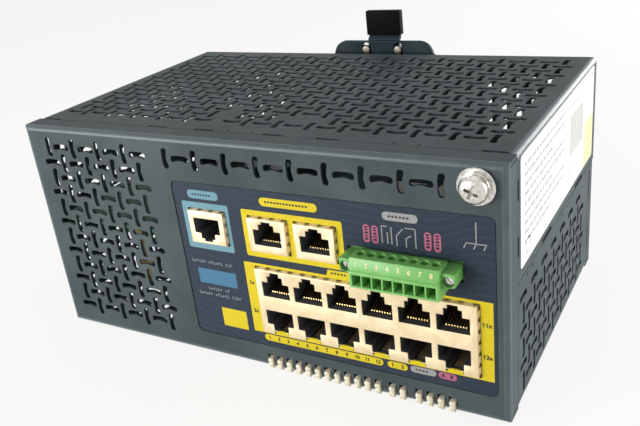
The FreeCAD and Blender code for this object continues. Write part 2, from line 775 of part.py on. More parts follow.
def make_adapter_plate():
    """A hat section that stands off the back, with a tongue at the top for the latch."""
    half = adapter_width / 2
    hat = [(-half - adapter_foot, rear), (-half, rear), (-half, plate_front), (half, plate_front),
           (half, rear),
           (half + adapter_foot, rear), (half + adapter_foot, rear + adapter_sheet),
           (half + adapter_sheet, rear + adapter_sheet), (half + adapter_sheet, plate_rear),
           (-half - adapter_sheet, plate_rear), (-half - adapter_sheet, rear + adapter_sheet),
           (-half - adapter_foot, rear + adapter_sheet)]
    body = prism([(x, y, adapter_bottom) for x, y in hat], (0, 0, adapter_shoulder - adapter_bottom))
    body = rounded(body, adapter_sheet,
                   lambda e: along(e, (0, 0, 1)) and at_level(e, (0, 1, 0), plate_rear))
    tab = box(-tongue_width / 2, tongue_width / 2, plate_front, plate_rear,
              adapter_shoulder - 5, tongue_top)
    tab = rounded(tab, tongue_corner, lambda e: along(e, (0, 1, 0)) and at_level(e, (0, 0, 1), tongue_top))
    plate = fused([body, tab])
    plate = rounded(plate, tongue_fillet, lambda e: along(e, (0, 1, 0)) and
                    at_level(e, (0, 0, 1), adapter_shoulder) and
                    abs(abs(e.Vertexes[0].X) - tongue_width / 2) < 1e-3)
    tools = [guide_slot(s * guide_slot_offset) for s in (-1, 1)]
    tools += [sided_bar(adapter_screw_shank, (x, rear - 1, z), (0, 2 * adapter_sheet, 0))
              for x, z in adapter_screw_places()]
    anchor = box(-tab_half_width, tab_half_width, plate_front, spring_y + spring_radius,
                 spring_low - adapter_sheet, spring_low)
    return fused([plate.cut(group(tools)), anchor])


def make_adapter_screws():
    screws = []
    for x, z in adapter_screw_places():
        seat = rear + adapter_sheet
        head = sided_bar(adapter_screw_head, (x, seat, z), (0, 2.2, 0))
        run = (0, adapter_sheet + sheet + 2.0, 0)
        shank = sided_bar(adapter_screw_shank, (x, rear - sheet - 2.0, z), run)
        screws.append(fused([head, shank]))
    return group(screws)


def make_saddle(side):
    """A pad for the rail to lie on, with a hook over the rail's upper edge."""
    z_top = rail_high + rail_clear
    lip = z_top - hook_reach
    pad_top = lip - pad_below_hook
    profile = [(plate_rear, rail_low - 3.0), (rail_seat, rail_low - 3.0), (rail_seat, pad_top),
               (rail_seat - pad_height, pad_top), (rail_seat - pad_height, z_top), (rail_back, z_top),
               (rail_back, lip), (rail_back + 1.0, lip - 0.6), (rail_back + 2.2, lip + 0.6),
               (rail_back + 2.2, z_top + 2.6), (rail_seat, z_top + 3.8), (plate_rear, z_top + 3.8)]
    left = side * saddle_offset - saddle_width / 2
    return prism([(left, y, z) for y, z in profile], (saddle_width, 0, 0))


def make_latch_slider():
    """The sliding latch: guided shoulders, a neck set back at the top, and a jaw under the rail."""
    half = latch_width / 2
    foot = rail_low - 4.2
    top = grip_bottom - latch_sheet - 0.1
    neck_top = grip_bottom + grip_pocket
    side = [(slider_front, foot), (rail_back + 2.6, foot), (rail_back + 2.6, rail_low + 1.2),
            (rail_back + 0.9, rail_low + hook_reach), (rail_back, rail_low + hook_reach),
            (rail_back, rail_low - rail_clear), (slider_rear, rail_low - rail_clear),
            (slider_rear, top - latch_sheet), (slider_rear + latch_jog, top),
            (slider_rear + latch_jog, neck_top), (slider_front + latch_jog, neck_top),
            (slider_front + latch_jog, top + latch_sheet), (slider_front, top)]
    strip = prism([(-half, y, z) for y, z in side], (latch_width, 0, 0))
    shoulders = box(-latch_shoulder, latch_shoulder, slider_front, slider_rear,
                    spring_low - 8, guide_pin_z + 1.6)
    lip = box(-tab_half_width, tab_half_width, slider_front, spring_y + spring_radius, spring_high,
              spring_high + latch_sheet)
    window = box(-spring_room, spring_room, slider_front - 1, slider_rear + 1,
                 spring_low - adapter_sheet - 1.0, spring_high)
    return fused([strip, shoulders, lip]).cut(window)


def make_latch_pins():
    """Two pins on the slider that run in the plate's slots."""
    return group(sided_bar(guide_pin_radius, (s * guide_slot_offset, plate_front - 0.9, guide_pin_z),
                         (0, slider_front - plate_front + 0.9, 0), 12) for s in (-1, 1))


def make_latch_grip():
    width, thick, height = grip_size
    middle = (slider_front + slider_rear) / 2 + latch_jog
    half = latch_width / 2
    cap = box(-width / 2, width / 2, middle - thick / 2, middle + thick / 2,
              grip_bottom, grip_bottom + height)
    cap = rounded(cap, 0.8, lambda e: along(e, (1, 0, 0)) and at_level(e, (0, 0, 1), grip_bottom + height))
    return cap.cut(box(-half, half, slider_front + latch_jog, slider_rear + latch_jog, grip_bottom - 1,
                       grip_bottom + grip_pocket))


def make_latch_spring():
    """A compression spring between the plate's tab and the slider's lip, in flat-sided wire."""
    per_turn = 8
    steps = per_turn * spring_turns
    half = spring_wire / 2
    rings = []
    for step in range(steps + 1):
        angle = 2 * pi * step / per_turn
        height = spring_low + half + (spring_high - spring_low - spring_wire) * step / steps
        rings.append([Vec((spring_radius - half + u * half) * cos(angle),
                          spring_y + (spring_radius - half + u * half) * sin(angle), height + v * half)
                      for u, v in ((-1, -1), (1, -1), (1, 1), (-1, 1))])
    faces = [flat_face(rings[0]), flat_face(rings[-1])]
    for near, far in zip(rings, rings[1:]):
        for i in range(4):
            j = (i + 1) % 4
            faces.append(flat_face([near[i], near[j], far[j]]))
            faces.append(flat_face([near[i], far[j], far[i]]))
    return Part.Solid(Part.Shell(faces))


def all_nodes():
    nodes = {
        "front_panel": make_front_panel(),
        "top_cover": make_top_cover(),
        "lower_chassis": make_lower_chassis(),
        "rear_panel": make_rear_panel(),
        "front_label": make_front_label(),
        "side_label": make_side_label(),
    }
    shell, insert, contacts = make_block()
    nodes.update(port_block_shell=shell, port_block_insert=insert, port_block_contacts=contacts)
    for name in single_mouths:
        shell, insert, contacts = make_single(name)
        nodes[name + "_jack_shell"] = shell
        nodes[name + "_jack_insert"] = insert
        nodes[name + "_jack_contacts"] = contacts
    nodes.update(
        terminal_header=make_terminal_header(),
        terminal_header_pins=make_header_pins(),
        terminal_plug=make_terminal_plug(),
        terminal_clamp_screws=make_clamp_screws(),
        terminal_flange_screws=make_flange_screws(),
        ground_screw=make_ground_screw(),
        ground_flat_washer=ground_ring(flat_washer_radius, flat_washer_thick, front - flat_washer_thick),
        ground_lock_washer=ground_ring(lock_washer_radius, lock_washer_thick,
                                       front - flat_washer_thick - lock_washer_thick),
        port_light_pipes=make_light_pipes("port"),
        uplink_light_pipes=make_light_pipes("uplink"),
        status_light_pipes=make_light_pipes("status"),
        light_chips=make_light_chips(),
        lower_board=board(lower_board, lower_board_bottom),
        upper_board=board(upper_board, upper_board_bottom),
        power_board=board(power_board, lower_board_bottom),
        lower_board_posts=make_lower_posts(),
        upper_board_posts=make_upper_posts(),
        board_screws=make_board_screws(),
        switch_chip=chip_outline(chip_height, lower_top),
        heat_sink=make_heat_sink(),
        line_magnetics=make_magnetics(),
        memory_chips=make_memory_chips(),
        power_transformer=make_power_transformer(),
        power_inductor=on_board(47.0, 61.0, 74.0, 88.0, lower_top, 8.0),
        power_capacitors=make_power_capacitors(),
        alarm_relays=group(on_board(x, x + 12.5, 22.0, 42.0, upper_top, 15.0) for x in (150.0, 168.0)),
        adapter_plate=make_adapter_plate(),
        rail_saddle_left=make_saddle(-1),
        rail_saddle_right=make_saddle(1),
        adapter_screws=make_adapter_screws(),
        latch_slider=make_latch_slider(),
        latch_pins=make_latch_pins(),
        latch_grip=make_latch_grip(),
        latch_spring=make_latch_spring(),
    )
    return nodes


def main():
    os.makedirs("parts", exist_ok=True)
    for name, shape in all_nodes().items():
        shape.exportStep(os.path.join("parts", name + ".step"))
        size = shape.BoundBox
        print("%-24s %3d solids  %5.1f x %5.1f x %5.1f mm  valid: %s" % (
            name, len(shape.Solids), size.XLength, size.YLength, size.ZLength, shape.isValid()))


main()
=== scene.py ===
"""Finishes for a network switch in a vented sheet-metal case.

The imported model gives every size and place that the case, the jacks, the terminal and the rail
adapter share. This script adds what the model leaves plain: punched and folded sheet, printed
film, metal shells with sprung fingers, wire contacts, screws, light pipes and the boards inside.
Lengths are in millimetres from the case's lower left front corner, and at() and Shape.ready() make
them metres. The lamps and the floor are placed in metres, as are the waves of the navy film.
"""

import bmesh
import bpy
import json
from math import cos, pi, radians, sin
from mathutils import Matrix, Vector


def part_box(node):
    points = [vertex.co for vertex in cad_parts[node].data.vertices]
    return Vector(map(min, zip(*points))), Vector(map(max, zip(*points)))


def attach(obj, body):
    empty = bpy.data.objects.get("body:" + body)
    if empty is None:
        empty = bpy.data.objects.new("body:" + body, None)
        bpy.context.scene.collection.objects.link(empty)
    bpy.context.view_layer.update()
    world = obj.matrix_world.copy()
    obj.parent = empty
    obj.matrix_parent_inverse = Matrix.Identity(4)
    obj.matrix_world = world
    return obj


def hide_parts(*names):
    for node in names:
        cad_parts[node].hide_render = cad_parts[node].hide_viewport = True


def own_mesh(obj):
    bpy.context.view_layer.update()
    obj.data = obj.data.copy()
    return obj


MM = 0.001
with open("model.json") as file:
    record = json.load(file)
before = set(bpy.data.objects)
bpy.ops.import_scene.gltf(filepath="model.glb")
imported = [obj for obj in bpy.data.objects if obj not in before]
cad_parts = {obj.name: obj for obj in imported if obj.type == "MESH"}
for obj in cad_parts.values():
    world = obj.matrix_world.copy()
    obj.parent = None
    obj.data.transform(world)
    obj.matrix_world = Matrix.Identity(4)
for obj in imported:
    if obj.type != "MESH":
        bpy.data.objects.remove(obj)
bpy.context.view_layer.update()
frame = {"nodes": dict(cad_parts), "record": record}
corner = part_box("front_panel")[0]


def box_of(*names):
    """The lowest and highest corner that some CAD nodes take up together, in case millimetres."""
    lows, highs = zip(*(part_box(name) for name in names))
    low = Vector(min(values) for values in zip(*lows))
    high = Vector(max(values) for values in zip(*highs))
    return (low - corner) / MM, (high - corner) / MM


def front_box(node):
    """A node's left, right, low and high side, as seen from the front."""
    low, high = box_of(node)
    return low.x, high.x, low.z, high.z


# ---- sizes that the pieces share ------------------------------------------------------------
WIDTH, DEPTH, HEIGHT = box_of("front_panel", "rear_panel")[1]
FLANGE = box_of("front_panel")[1].y    # depth of the front pan
SPLIT = box_of("top_cover")[0].z       # where the cover's sides meet the chassis' sides
SHEET = 1.2                    # thickness of the folded steel
THIN = 0.8                     # its thickness round the roof's, the floor's and the upper left side's vents
BEND = 1.8                     # outside radius of its folds
FLAT = 0.3                     # flat edge that a fold keeps on each side
EDGE = BEND + FLAT             # where a folded plate's flat part starts
SEAM = 0.3                     # gap where two case parts meet
WALL_GAP = 0.4                 # between a side wall's end and the sheet that it stands on
BEHIND_PAN = FLANGE + SEAM     # where the cover and the chassis start
CHASSIS_TOP = SPLIT - SEAM
RELIEF_HOLE = 0.55             # radius of the holes at the corners of a tongue or a lap

FRONT_VENT = 6.88              # pitch of the front's field of vents
ROOF_VENT = 6.915              # pitch of the roof's vents, and of the front's single row
SIDE_VENT = 6.9                # pitch of the vents in the lower sides and the back
WIDE_VENT = 8.0                # pitch of the larger vents in the floor and the upper left side
WIDE_SLOT = {"Column step": WIDE_VENT, "Row step": WIDE_VENT, "Length": 9.6, "Width": 4.0}

RECESS = 0.5                   # depth of the front label's recess
FILM = 0.25                    # thickness of its film
FILM_GAP = 0.35                # round the film, in its recess
FILM_FACE = RECESS - FILM
LABEL_CORNER = 2.5
INK_THICK = 0.03
WINDOW = 0.6                   # room round a jack's shell

JACKS = ("console_jack", "uplink_1_jack", "uplink_2_jack")
JACK_PITCH = 13.97
JACK_COLUMNS = 6
CONTACTS, CONTACT_PITCH = 8, 1.02
MOUTH_RISE = 2.9               # from a single jack's edge to its mouth
BLOCK_MOUTHS = (10.6, 16.6)    # from the block's bottom to the wires of its lower and its upper mouths
POLES, POLE_PITCH = 8, 3.81
PIPE_GROUPS = (("port_light_pipes", 12), ("uplink_light_pipes", 2), ("status_light_pipes", 4))
PIPE_PITCH = 4.26
PIPE_SLOT_WIDTH, PIPE_SLOT_TOP = 3.0, 5.9
PIPE_SLOT_REACH = 3.2          # how far a slot runs back under the case


def at(x, y, z):
    """A place in case millimetres, as metres in the row's frame."""
    return corner + Vector((x, y, z)) * MM


def linked(name, data):
    """A new object in the scene."""
    made = bpy.data.objects.new(name, data)
    bpy.context.scene.collection.objects.link(made)
    return made


def evaluated(holder):
    """The plain mesh that an object and its modifiers make. The object is used up."""
    depsgraph = bpy.context.evaluated_depsgraph_get()
    mesh = bpy.data.meshes.new_from_object(holder.evaluated_get(depsgraph), depsgraph=depsgraph)
    bpy.data.objects.remove(holder)
    return mesh


# ---- node trees ---------------------------------------------------------------------------
class Graph:
    """A node tree under construction. add() makes a node and fills its inputs."""

    def __init__(self, tree):
        self.tree = tree

    def add(self, kind, inputs=None, **settings):
        node = self.tree.nodes.new(kind)
        for name, value in settings.items():
            setattr(node, name, value)
        for key, value in (inputs or {}).items():
            self.feed(node.inputs[key], value)
        return node

    def feed(self, socket, value):
        if isinstance(value, Value):
            value = value.socket
        if isinstance(value, bpy.types.NodeSocket):
            self.tree.links.new(value, socket)
        else:
            socket.default_value = value

    def value(self, socket):
        return Value(self, socket)

    def math(self, operation, *terms):
        node = self.add("ShaderNodeMath", dict(enumerate(terms)), operation=operation)
        return Value(self, node.outputs[0])

    def sum(self, *vectors):
        node = self.add("ShaderNodeVectorMath", dict(enumerate(vectors)), operation="ADD")
        return node.outputs[0]

    def joined(self, *geometries):
        node = self.add("GeometryNodeJoinGeometry")
        for geometry in geometries:
            self.feed(node.inputs[0], geometry)
        return node.outputs[0]

    def split(self, vector):
        node = self.add("ShaderNodeSeparateXYZ", {0: vector})
        return [Value(self, node.outputs[axis]) for axis in "XYZ"]

    def join(self, x, y, z):
        return self.add("ShaderNodeCombineXYZ", {"X": x, "Y": y, "Z": z}).outputs[0]


class Value:
    """A number in a node tree, so that a formula can be written as one."""

    def __init__(self, graph, socket):
        self.graph, self.socket = graph, socket

    def __add__(self, other):
        return self.graph.math("ADD", self, other)

    def __sub__(self, other):
        return self.graph.math("SUBTRACT", self, other)

    def __rsub__(self, other):
        return self.graph.math("SUBTRACT", other, self)

    def __mul__(self, other):
        return self.graph.math("MULTIPLY", self, other)

    def __truediv__(self, other):
        return self.graph.math("DIVIDE", self, other)

    def __gt__(self, other):
        return self.graph.math("GREATER_THAN", self, other)

    def __lt__(self, other):
        return self.graph.math("LESS_THAN", self, other)

    __radd__ = __add__
    __rmul__ = __mul__

    def power(self, exponent):
        """The size raised to a power, with the sign kept."""
        size = self.graph.math("POWER", self.graph.math("ABSOLUTE", self), exponent)
        return size * self.graph.math("SIGN", self)

    def sine(self):
        return self.graph.math("SINE", self)

    def above(self, low):
        return self.graph.math("MAXIMUM", self, low)


# ---- finishes -----------------------------------------------------------------------------
finishes = {}


def finish(build, name=None):
    """Turns a function that fills in a material's tree into one that returns the material.

    The material is made once, under the function's own name if no other is given.
    """
    name = name or build.__name__

    def make():
        if name not in finishes:
            material = bpy.data.materials.new(name)
            material.use_nodes = True
            graph = Graph(material.node_tree)
            graph.shader = material.node_tree.nodes["Principled BSDF"]
            graph.place = graph.add("ShaderNodeTexCoord").outputs["Object"]
            build(graph)
            finishes[name] = material
        return finishes[name]
    return make


def noise(graph, grain, detail=2.0, roughness=0.5):
    """Noise whose features are about grain millimetres across."""
    node = graph.add("ShaderNodeTexNoise", {"Vector": graph.place, "Scale": 1.0 / (grain * MM),
                                            "Detail": detail, "Roughness": roughness})
    return graph.value(node.outputs["Fac"])


def ramp(graph, factor, stops):
    node = graph.add("ShaderNodeValToRGB", {"Fac": factor})
    points = node.color_ramp.elements
    while len(points) < len(stops):
        points.new(0.5)
    for point, (position, colour) in zip(points, stops):
        point.position = position
        point.color = (*colour, 1.0)
    return node.outputs["Color"]


def rgba(colour):
    """A colour as a node takes it: a socket as it is, a plain colour with its alpha."""
    return colour if isinstance(colour, bpy.types.NodeSocket) else (*colour, 1.0)


def between(graph, factor, first, second):
    node = graph.add("ShaderNodeMix", {"Factor": factor}, data_type="RGBA")
    graph.feed(node.inputs[6], rgba(first))
    graph.feed(node.inputs[7], rgba(second))
    return node.outputs[2]


def bumped(graph, height, distance, strength=0.5):
    """Gives the shader a bump from a height field. distance is in millimetres."""
    bump = graph.add("ShaderNodeBump", {"Height": height, "Distance": distance * MM, "Strength": strength})
    graph.feed(graph.shader.inputs["Normal"], bump.outputs["Normal"])


def surface(graph, colour, roughness, **sockets):
    """Sets the shader's colour and roughness, and other inputs by their names in small letters."""
    graph.feed(graph.shader.inputs["Base Color"], rgba(colour))
    graph.feed(graph.shader.inputs["Roughness"], roughness)
    for name, value in sockets.items():
        graph.feed(graph.shader.inputs[name.replace("_", " ").title().replace("Ior", "IOR")], value)


def powder_coat(graph, colour):
    """Matte paint with a fine orange-peel grain and a few dusty, rubbed patches."""
    dust = noise(graph, 34.0, 5.0, 0.6)
    fleck = noise(graph, 0.5, 1.0)
    pale = tuple(c * 1.28 + 0.012 for c in colour)
    tone = ramp(graph, dust, [(0.35, tuple(c * 0.93 for c in colour)), (0.75, pale)])
    surface(graph, tone, 0.44 + 0.16 * noise(graph, 9.0, 3.0), specular_ior_level=0.1)
    bumped(graph, fleck + 0.6 * noise(graph, 1.1, 1.0), 0.05, 0.28)


@finish
def case_paint(graph):
    powder_coat(graph, (0.049, 0.064, 0.067))


@finish
def fold_highlight_paint(graph):
    """The same paint along a fold, lighter and shinier: the lighter colour is a painted highlight along the
    bend.
    """
    # Lighter than the case paint: a painted highlight along the fold.
    colour = (0.085, 0.112, 0.122)
    tone = ramp(graph, noise(graph, 6.0, 4.0), [(0.3, tuple(c * 0.8 for c in colour)), (0.8, colour)])
    surface(graph, tone, 0.30 + 0.16 * noise(graph, 9.0, 3.0), specular_ior_level=0.3)
    bumped(graph, noise(graph, 0.5, 1.0), 0.04, 0.25)


@finish
def adapter_paint(graph):
    powder_coat(graph, (0.018, 0.031, 0.038))


@finish
def label_navy(graph):
    """Printed film: thin paler waves on navy, under a satin face."""
    x, _, z = graph.split(graph.place)
    sway = (x * (2 * pi / 0.034)).sine() * 0.0022 + (x * (2 * pi / 0.071) + 1.3).sine() * 0.0031
    phase = graph.math("FRACT", (z + sway + x * 0.16) / 0.0030)
    off_line = graph.math("SMOOTH_MAX", graph.math("ABSOLUTE", phase - 0.5) * 5.0, 0.0, 0.4)
    mask = graph.math("MINIMUM", (1.0 - off_line).above(0.0), 1.0)
    tone = between(graph, mask * 0.30, (0.019, 0.029, 0.046), (0.046, 0.063, 0.085))
    surface(graph, tone, 0.36 + 0.12 * noise(graph, 14.0), specular_ior_level=0.2)
    bumped(graph, noise(graph, 0.35, 1.0), 0.01, 0.25)


@finish
def label_white(graph):
    """Paper-white film, a little yellowed."""
    tone = ramp(graph, noise(graph, 22.0, 3.0), [(0.3, (0.70, 0.70, 0.68)), (0.8, (0.78, 0.78, 0.76))])
    surface(graph, tone, 0.42)
    bumped(graph, noise(graph, 0.6, 2.0), 0.01, 0.3)


def ink(name, colour):
    """A finish for screen-printed ink, with a slightly uneven lay."""
    def lay(graph):
        tone = ramp(graph, noise(graph, 1.6, 3.0), [(0.3, tuple(c * 0.9 for c in colour)), (0.7, colour)])
        surface(graph, tone, 0.42, specular_ior_level=0.22)
        bumped(graph, noise(graph, 0.25, 1.0), 0.008, 0.3)
    return finish(lay, name)


ink_yellow = ink("ink_yellow", (0.62, 0.49, 0.014))
ink_blue = ink("ink_blue", (0.14, 0.28, 0.34))
ink_mid_blue = ink("ink_mid_blue", (0.055, 0.165, 0.27))
ink_pink = ink("ink_pink", (0.40, 0.115, 0.19))
ink_grey = ink("ink_grey", (0.31, 0.305, 0.30))
ink_dim = ink("ink_dim", (0.24, 0.25, 0.27))
ink_black = ink("ink_black", (0.02, 0.02, 0.025))
ink_faint = ink("ink_faint", (0.42, 0.41, 0.40))
ink_pale_yellow = ink("ink_pale_yellow", (0.68, 0.65, 0.34))


@finish
def shell_metal(graph):
    """Tin-plated steel: warm, satin, faintly drawn along its length, with a few dull spots."""
    stretched = graph.add("ShaderNodeMapping", {"Vector": graph.place, "Scale": (1.0, 1.0, 14.0)}).outputs[0]
    grain = graph.add("ShaderNodeTexNoise", {"Vector": stretched, "Scale": 900.0, "Detail": 3.0})
    spots = noise(graph, 5.0, 4.0)
    tone = ramp(graph, spots, [(0.35, (0.72, 0.58, 0.36)), (0.65, (0.81, 0.67, 0.45))])
    surface(graph, tone, 0.42 + 0.14 * spots, metallic=0.75)
    bumped(graph, grain.outputs["Fac"], 0.02, 0.25)


@finish
def jack_plastic(graph):
    surface(graph, (0.012, 0.012, 0.014), 0.42 + 0.15 * noise(graph, 2.0))
    bumped(graph, noise(graph, 0.3, 2.0), 0.02, 0.3)


@finish
def contact_gold(graph):
    tone = ramp(graph, noise(graph, 1.5), [(0.3, (0.80, 0.53, 0.20)), (0.7, (0.95, 0.72, 0.34))])
    surface(graph, tone, 0.22, metallic=1.0)


@finish
def plug_green(graph):
    """Moulded green plastic with a satin skin and slight flow marks."""
    tone = ramp(graph, noise(graph, 7.0, 3.0), [(0.3, (0.130, 0.370, 0.088)), (0.75, (0.185, 0.460, 0.118))])
    surface(graph, tone, 0.34 + 0.14 * noise(graph, 3.0))
    bumped(graph, noise(graph, 0.35, 2.0), 0.02, 0.35)


@finish
def pin_tin(graph):
    surface(graph, (0.70, 0.69, 0.66), 0.34 + 0.1 * noise(graph, 0.8), metallic=1.0)


@finish
def pin_steel(graph):
    """Plain greased steel."""
    tone = ramp(graph, noise(graph, 1.4, 3.0), [(0.3, (0.20, 0.18, 0.15)), (0.7, (0.34, 0.31, 0.27))])
    surface(graph, tone, 0.42 + 0.1 * noise(graph, 0.8), metallic=0.8)


@finish
def screw_nickel(graph):
    """Nickel plate with turning marks and small scuffs."""
    scuff = noise(graph, 0.9, 4.0, 0.65)
    tone = ramp(graph, scuff, [(0.35, (0.50, 0.48, 0.44)), (0.6, (0.74, 0.72, 0.68))])
    surface(graph, tone, 0.14 + 0.14 * scuff, metallic=1.0)
    bumped(graph, noise(graph, 0.4, 3.0), 0.03, 0.3)


@finish
def pipe_clear(graph):
    """Milky moulded light guide."""
    tone = ramp(graph, noise(graph, 2.5), [(0.3, (0.56, 0.51, 0.38)), (0.7, (0.70, 0.65, 0.50))])
    surface(graph, tone, 0.30, subsurface_weight=0.2, subsurface_scale=0.0015)


@finish
def diode(graph):
    surface(graph, (0.80, 0.82, 0.62), 0.30, subsurface_weight=0.2, subsurface_scale=0.001)


@finish
def board_green(graph):
    """Solder mask over copper tracks: fine runs along both ways, with tinned pads between."""
    x, y = graph.split(graph.place)[:2]
    tracks = graph.add("ShaderNodeTexBrick", {
        "Vector": graph.join(x / MM, y / MM, 0.0), "Scale": 0.55, "Mortar Size": 0.06,
        "Color1": (0.0, 0.0, 0.0, 1.0), "Color2": (1.0, 1.0, 1.0, 1.0), "Mortar": (0.5, 0.5, 0.5, 1.0)})
    mask = graph.value(tracks.outputs["Fac"])
    pads = graph.add("ShaderNodeTexVoronoi", {"Vector": graph.place, "Scale": 320.0}).outputs["Distance"]
    dots = graph.math("LESS_THAN", pads, 0.16)
    tone = between(graph, mask, (0.010, 0.085, 0.040), (0.030, 0.150, 0.070))
    tone = between(graph, dots, tone, (0.62, 0.62, 0.58))
    surface(graph, tone, 0.30 + 0.10 * noise(graph, 5.0))
    bumped(graph, mask, 0.04, 0.5)


@finish
def post_brass(graph):
    tone = ramp(graph, noise(graph, 3.0), [(0.3, (0.66, 0.50, 0.22)), (0.7, (0.80, 0.64, 0.32))])
    surface(graph, tone, 0.30, metallic=1.0)


@finish
def chip_black(graph):
    surface(graph, (0.022, 0.022, 0.024), 0.55 + 0.15 * noise(graph, 1.0))
    bumped(graph, noise(graph, 0.25, 3.0), 0.03, 0.4)


@finish
def sink_black(graph):
    surface(graph, (0.035, 0.035, 0.038), 0.42 + 0.1 * noise(graph, 1.5), metallic=0.6)


@finish
def core_grey(graph):
    tone = ramp(graph, noise(graph, 2.0, 4.0), [(0.3, (0.055, 0.055, 0.058)), (0.8, (0.12, 0.12, 0.12))])
    surface(graph, tone, 0.62)
    bumped(graph, noise(graph, 0.4, 3.0), 0.05, 0.5)


@finish
def can_blue(graph):
    surface(graph, (0.020, 0.034, 0.095), 0.28 + 0.1 * noise(graph, 5.0))


@finish
def can_top(graph):
    surface(graph, (0.72, 0.72, 0.71), 0.30, metallic=1.0)


@finish
def relay_white(graph):
    surface(graph, (0.66, 0.66, 0.60), 0.45 + 0.1 * noise(graph, 2.0))
    bumped(graph, noise(graph, 0.5, 2.0), 0.02, 0.3)


@finish
def saddle_black(graph):
    surface(graph, (0.016, 0.016, 0.018), 0.48 + 0.18 * noise(graph, 1.2), specular_ior_level=0.25)
    bumped(graph, noise(graph, 0.4, 3.0), 0.03, 0.4)


@finish
def grip_black(graph):
    """Soft dark moulding that throws hardly any light back."""
    surface(graph, (0.004, 0.004, 0.004), 0.55 + 0.12 * noise(graph, 1.6), specular_ior_level=0.05)
    bumped(graph, noise(graph, 0.45, 2.0), 0.03, 0.4)


@finish
def spring_steel(graph):
    surface(graph, (0.52, 0.52, 0.51), 0.26 + 0.1 * noise(graph, 0.7), metallic=1.0)


def looked_at(graph):
    """1 for what the camera sees, straight, in a reflection or through a clear piece, else 0."""
    path = graph.add("ShaderNodeLightPath")
    kinds = ("Is Camera Ray", "Is Glossy Ray", "Is Transmission Ray")
    straight, reflected, through = (graph.value(path.outputs[kind]) for kind in kinds)
    return straight + reflected + through


@finish
def floor_white(graph):
    """Pale paper sweep. To the camera it glows a little, and it still takes the case's shadow."""
    output = graph.tree.nodes["Material Output"]
    surface(graph, (0.90, 0.90, 0.885), 0.75)
    glow = graph.add("ShaderNodeEmission", {"Color": (1.0, 1.0, 0.985, 1.0), "Strength": 1.0})
    blend = graph.add("ShaderNodeMixShader", {0: looked_at(graph) * 0.84, 1: graph.shader.outputs[0],
                                              2: glow.outputs[0]})
    graph.feed(output.inputs["Surface"], blend.outputs[0])


# ---- camera, floor and light --------------------------------------------------------------
def make_camera():
    """A short telephoto view from the front right, a little tilted."""
    place = at(267.96, -208.06, 179.56)
    azimuth, elevation, roll = radians(-31.60), radians(23.85), radians(-6.72)
    forward = Vector((sin(azimuth) * cos(elevation), cos(azimuth) * cos(elevation), -sin(elevation)))
    right = forward.cross(Vector((0, 0, 1))).normalized()
    up = right.cross(forward)
    right, up = right * cos(roll) + up * sin(roll), up * cos(roll) - right * sin(roll)
    camera = linked("camera", bpy.data.cameras.new("camera"))
    camera.data.lens = 43.553
    camera.data.clip_start, camera.data.clip_end = 0.01, 20.0
    camera.matrix_world = Matrix((
        (right.x, up.x, -forward.x, place.x),
        (right.y, up.y, -forward.y, place.y),
        (right.z, up.z, -forward.z, place.z),
        (0, 0, 0, 1)))
    bpy.context.scene.camera = camera


def area_light(name, place, target, size, power, colour=(1.0, 1.0, 1.0)):
    """A rectangular lamp that faces its target. Places and sizes are in metres, in the row's frame."""
    lamp = bpy.data.lights.new(name, "AREA")
    lamp.shape = "RECTANGLE"
    lamp.size, lamp.size_y = size
    lamp.energy = power
    lamp.color = colour
    holder = linked(name, lamp)
    holder.location = place
    holder.rotation_euler = (Vector(target) - Vector(place)).to_track_quat("-Z", "Y").to_euler()


def make_light():
    """A light tent: a pale room, a weak lamp overhead, one in front, and two that rake the right side."""
    world = bpy.data.worlds.new("tent")
    world.use_nodes = True
    bpy.context.scene.world = world
    graph = Graph(world.node_tree)
    sky = world.node_tree.nodes["Background"]
    sky.inputs["Color"].default_value = (1.0, 0.995, 0.985, 1.0)
    graph.feed(sky.inputs["Strength"], 0.34 + 0.66 * looked_at(graph))
    area_light("overhead", (-0.1, 0.0, 0.9), (0.0, 0.0, 0.05), size=(1.0, 1.0), power=0.5)
    area_light("right_rear", (0.50, 1.0, 0.22), (0.10, 0.02, 0.05), size=(0.7, 0.5), power=9.0,
               colour=(1.0, 0.99, 0.97))
    area_light("right", (0.80, 0.15, 0.15), (0.10, 0.0, 0.05), size=(0.5, 0.4), power=5.0)
    area_light("front_left", (-0.42, -0.62, 0.14), (-0.03, -0.05, 0.05), size=(0.5, 0.4), power=7.0)
    bpy.context.scene.view_settings.view_transform = "Standard"


def make_floor():
    mesh = bpy.data.meshes.new("floor")
    reach = 3.0
    corners = [(-reach, -reach, 0), (reach, -reach, 0), (reach, reach, 0), (-reach, reach, 0)]
    mesh.from_pydata(corners, [], [(0, 1, 2, 3)])
    mesh.materials.append(floor_white())
    floor = linked("floor", mesh)
    floor.location.z = -0.2 * MM


# ---- shapes -------------------------------------------------------------------------------
TO_FRAME = Matrix.Translation(corner) @ Matrix.Diagonal((MM, MM, MM, 1.0))
X, Y, Z = Vector((1, 0, 0)), Vector((0, 1, 0)), Vector((0, 0, 1))


def square_to(axis):
    """An axis as a vector, and two directions square to it and to each other."""
    axis = Vector(axis)
    across = axis.orthogonal().normalized()
    return axis, across, axis.cross(across)


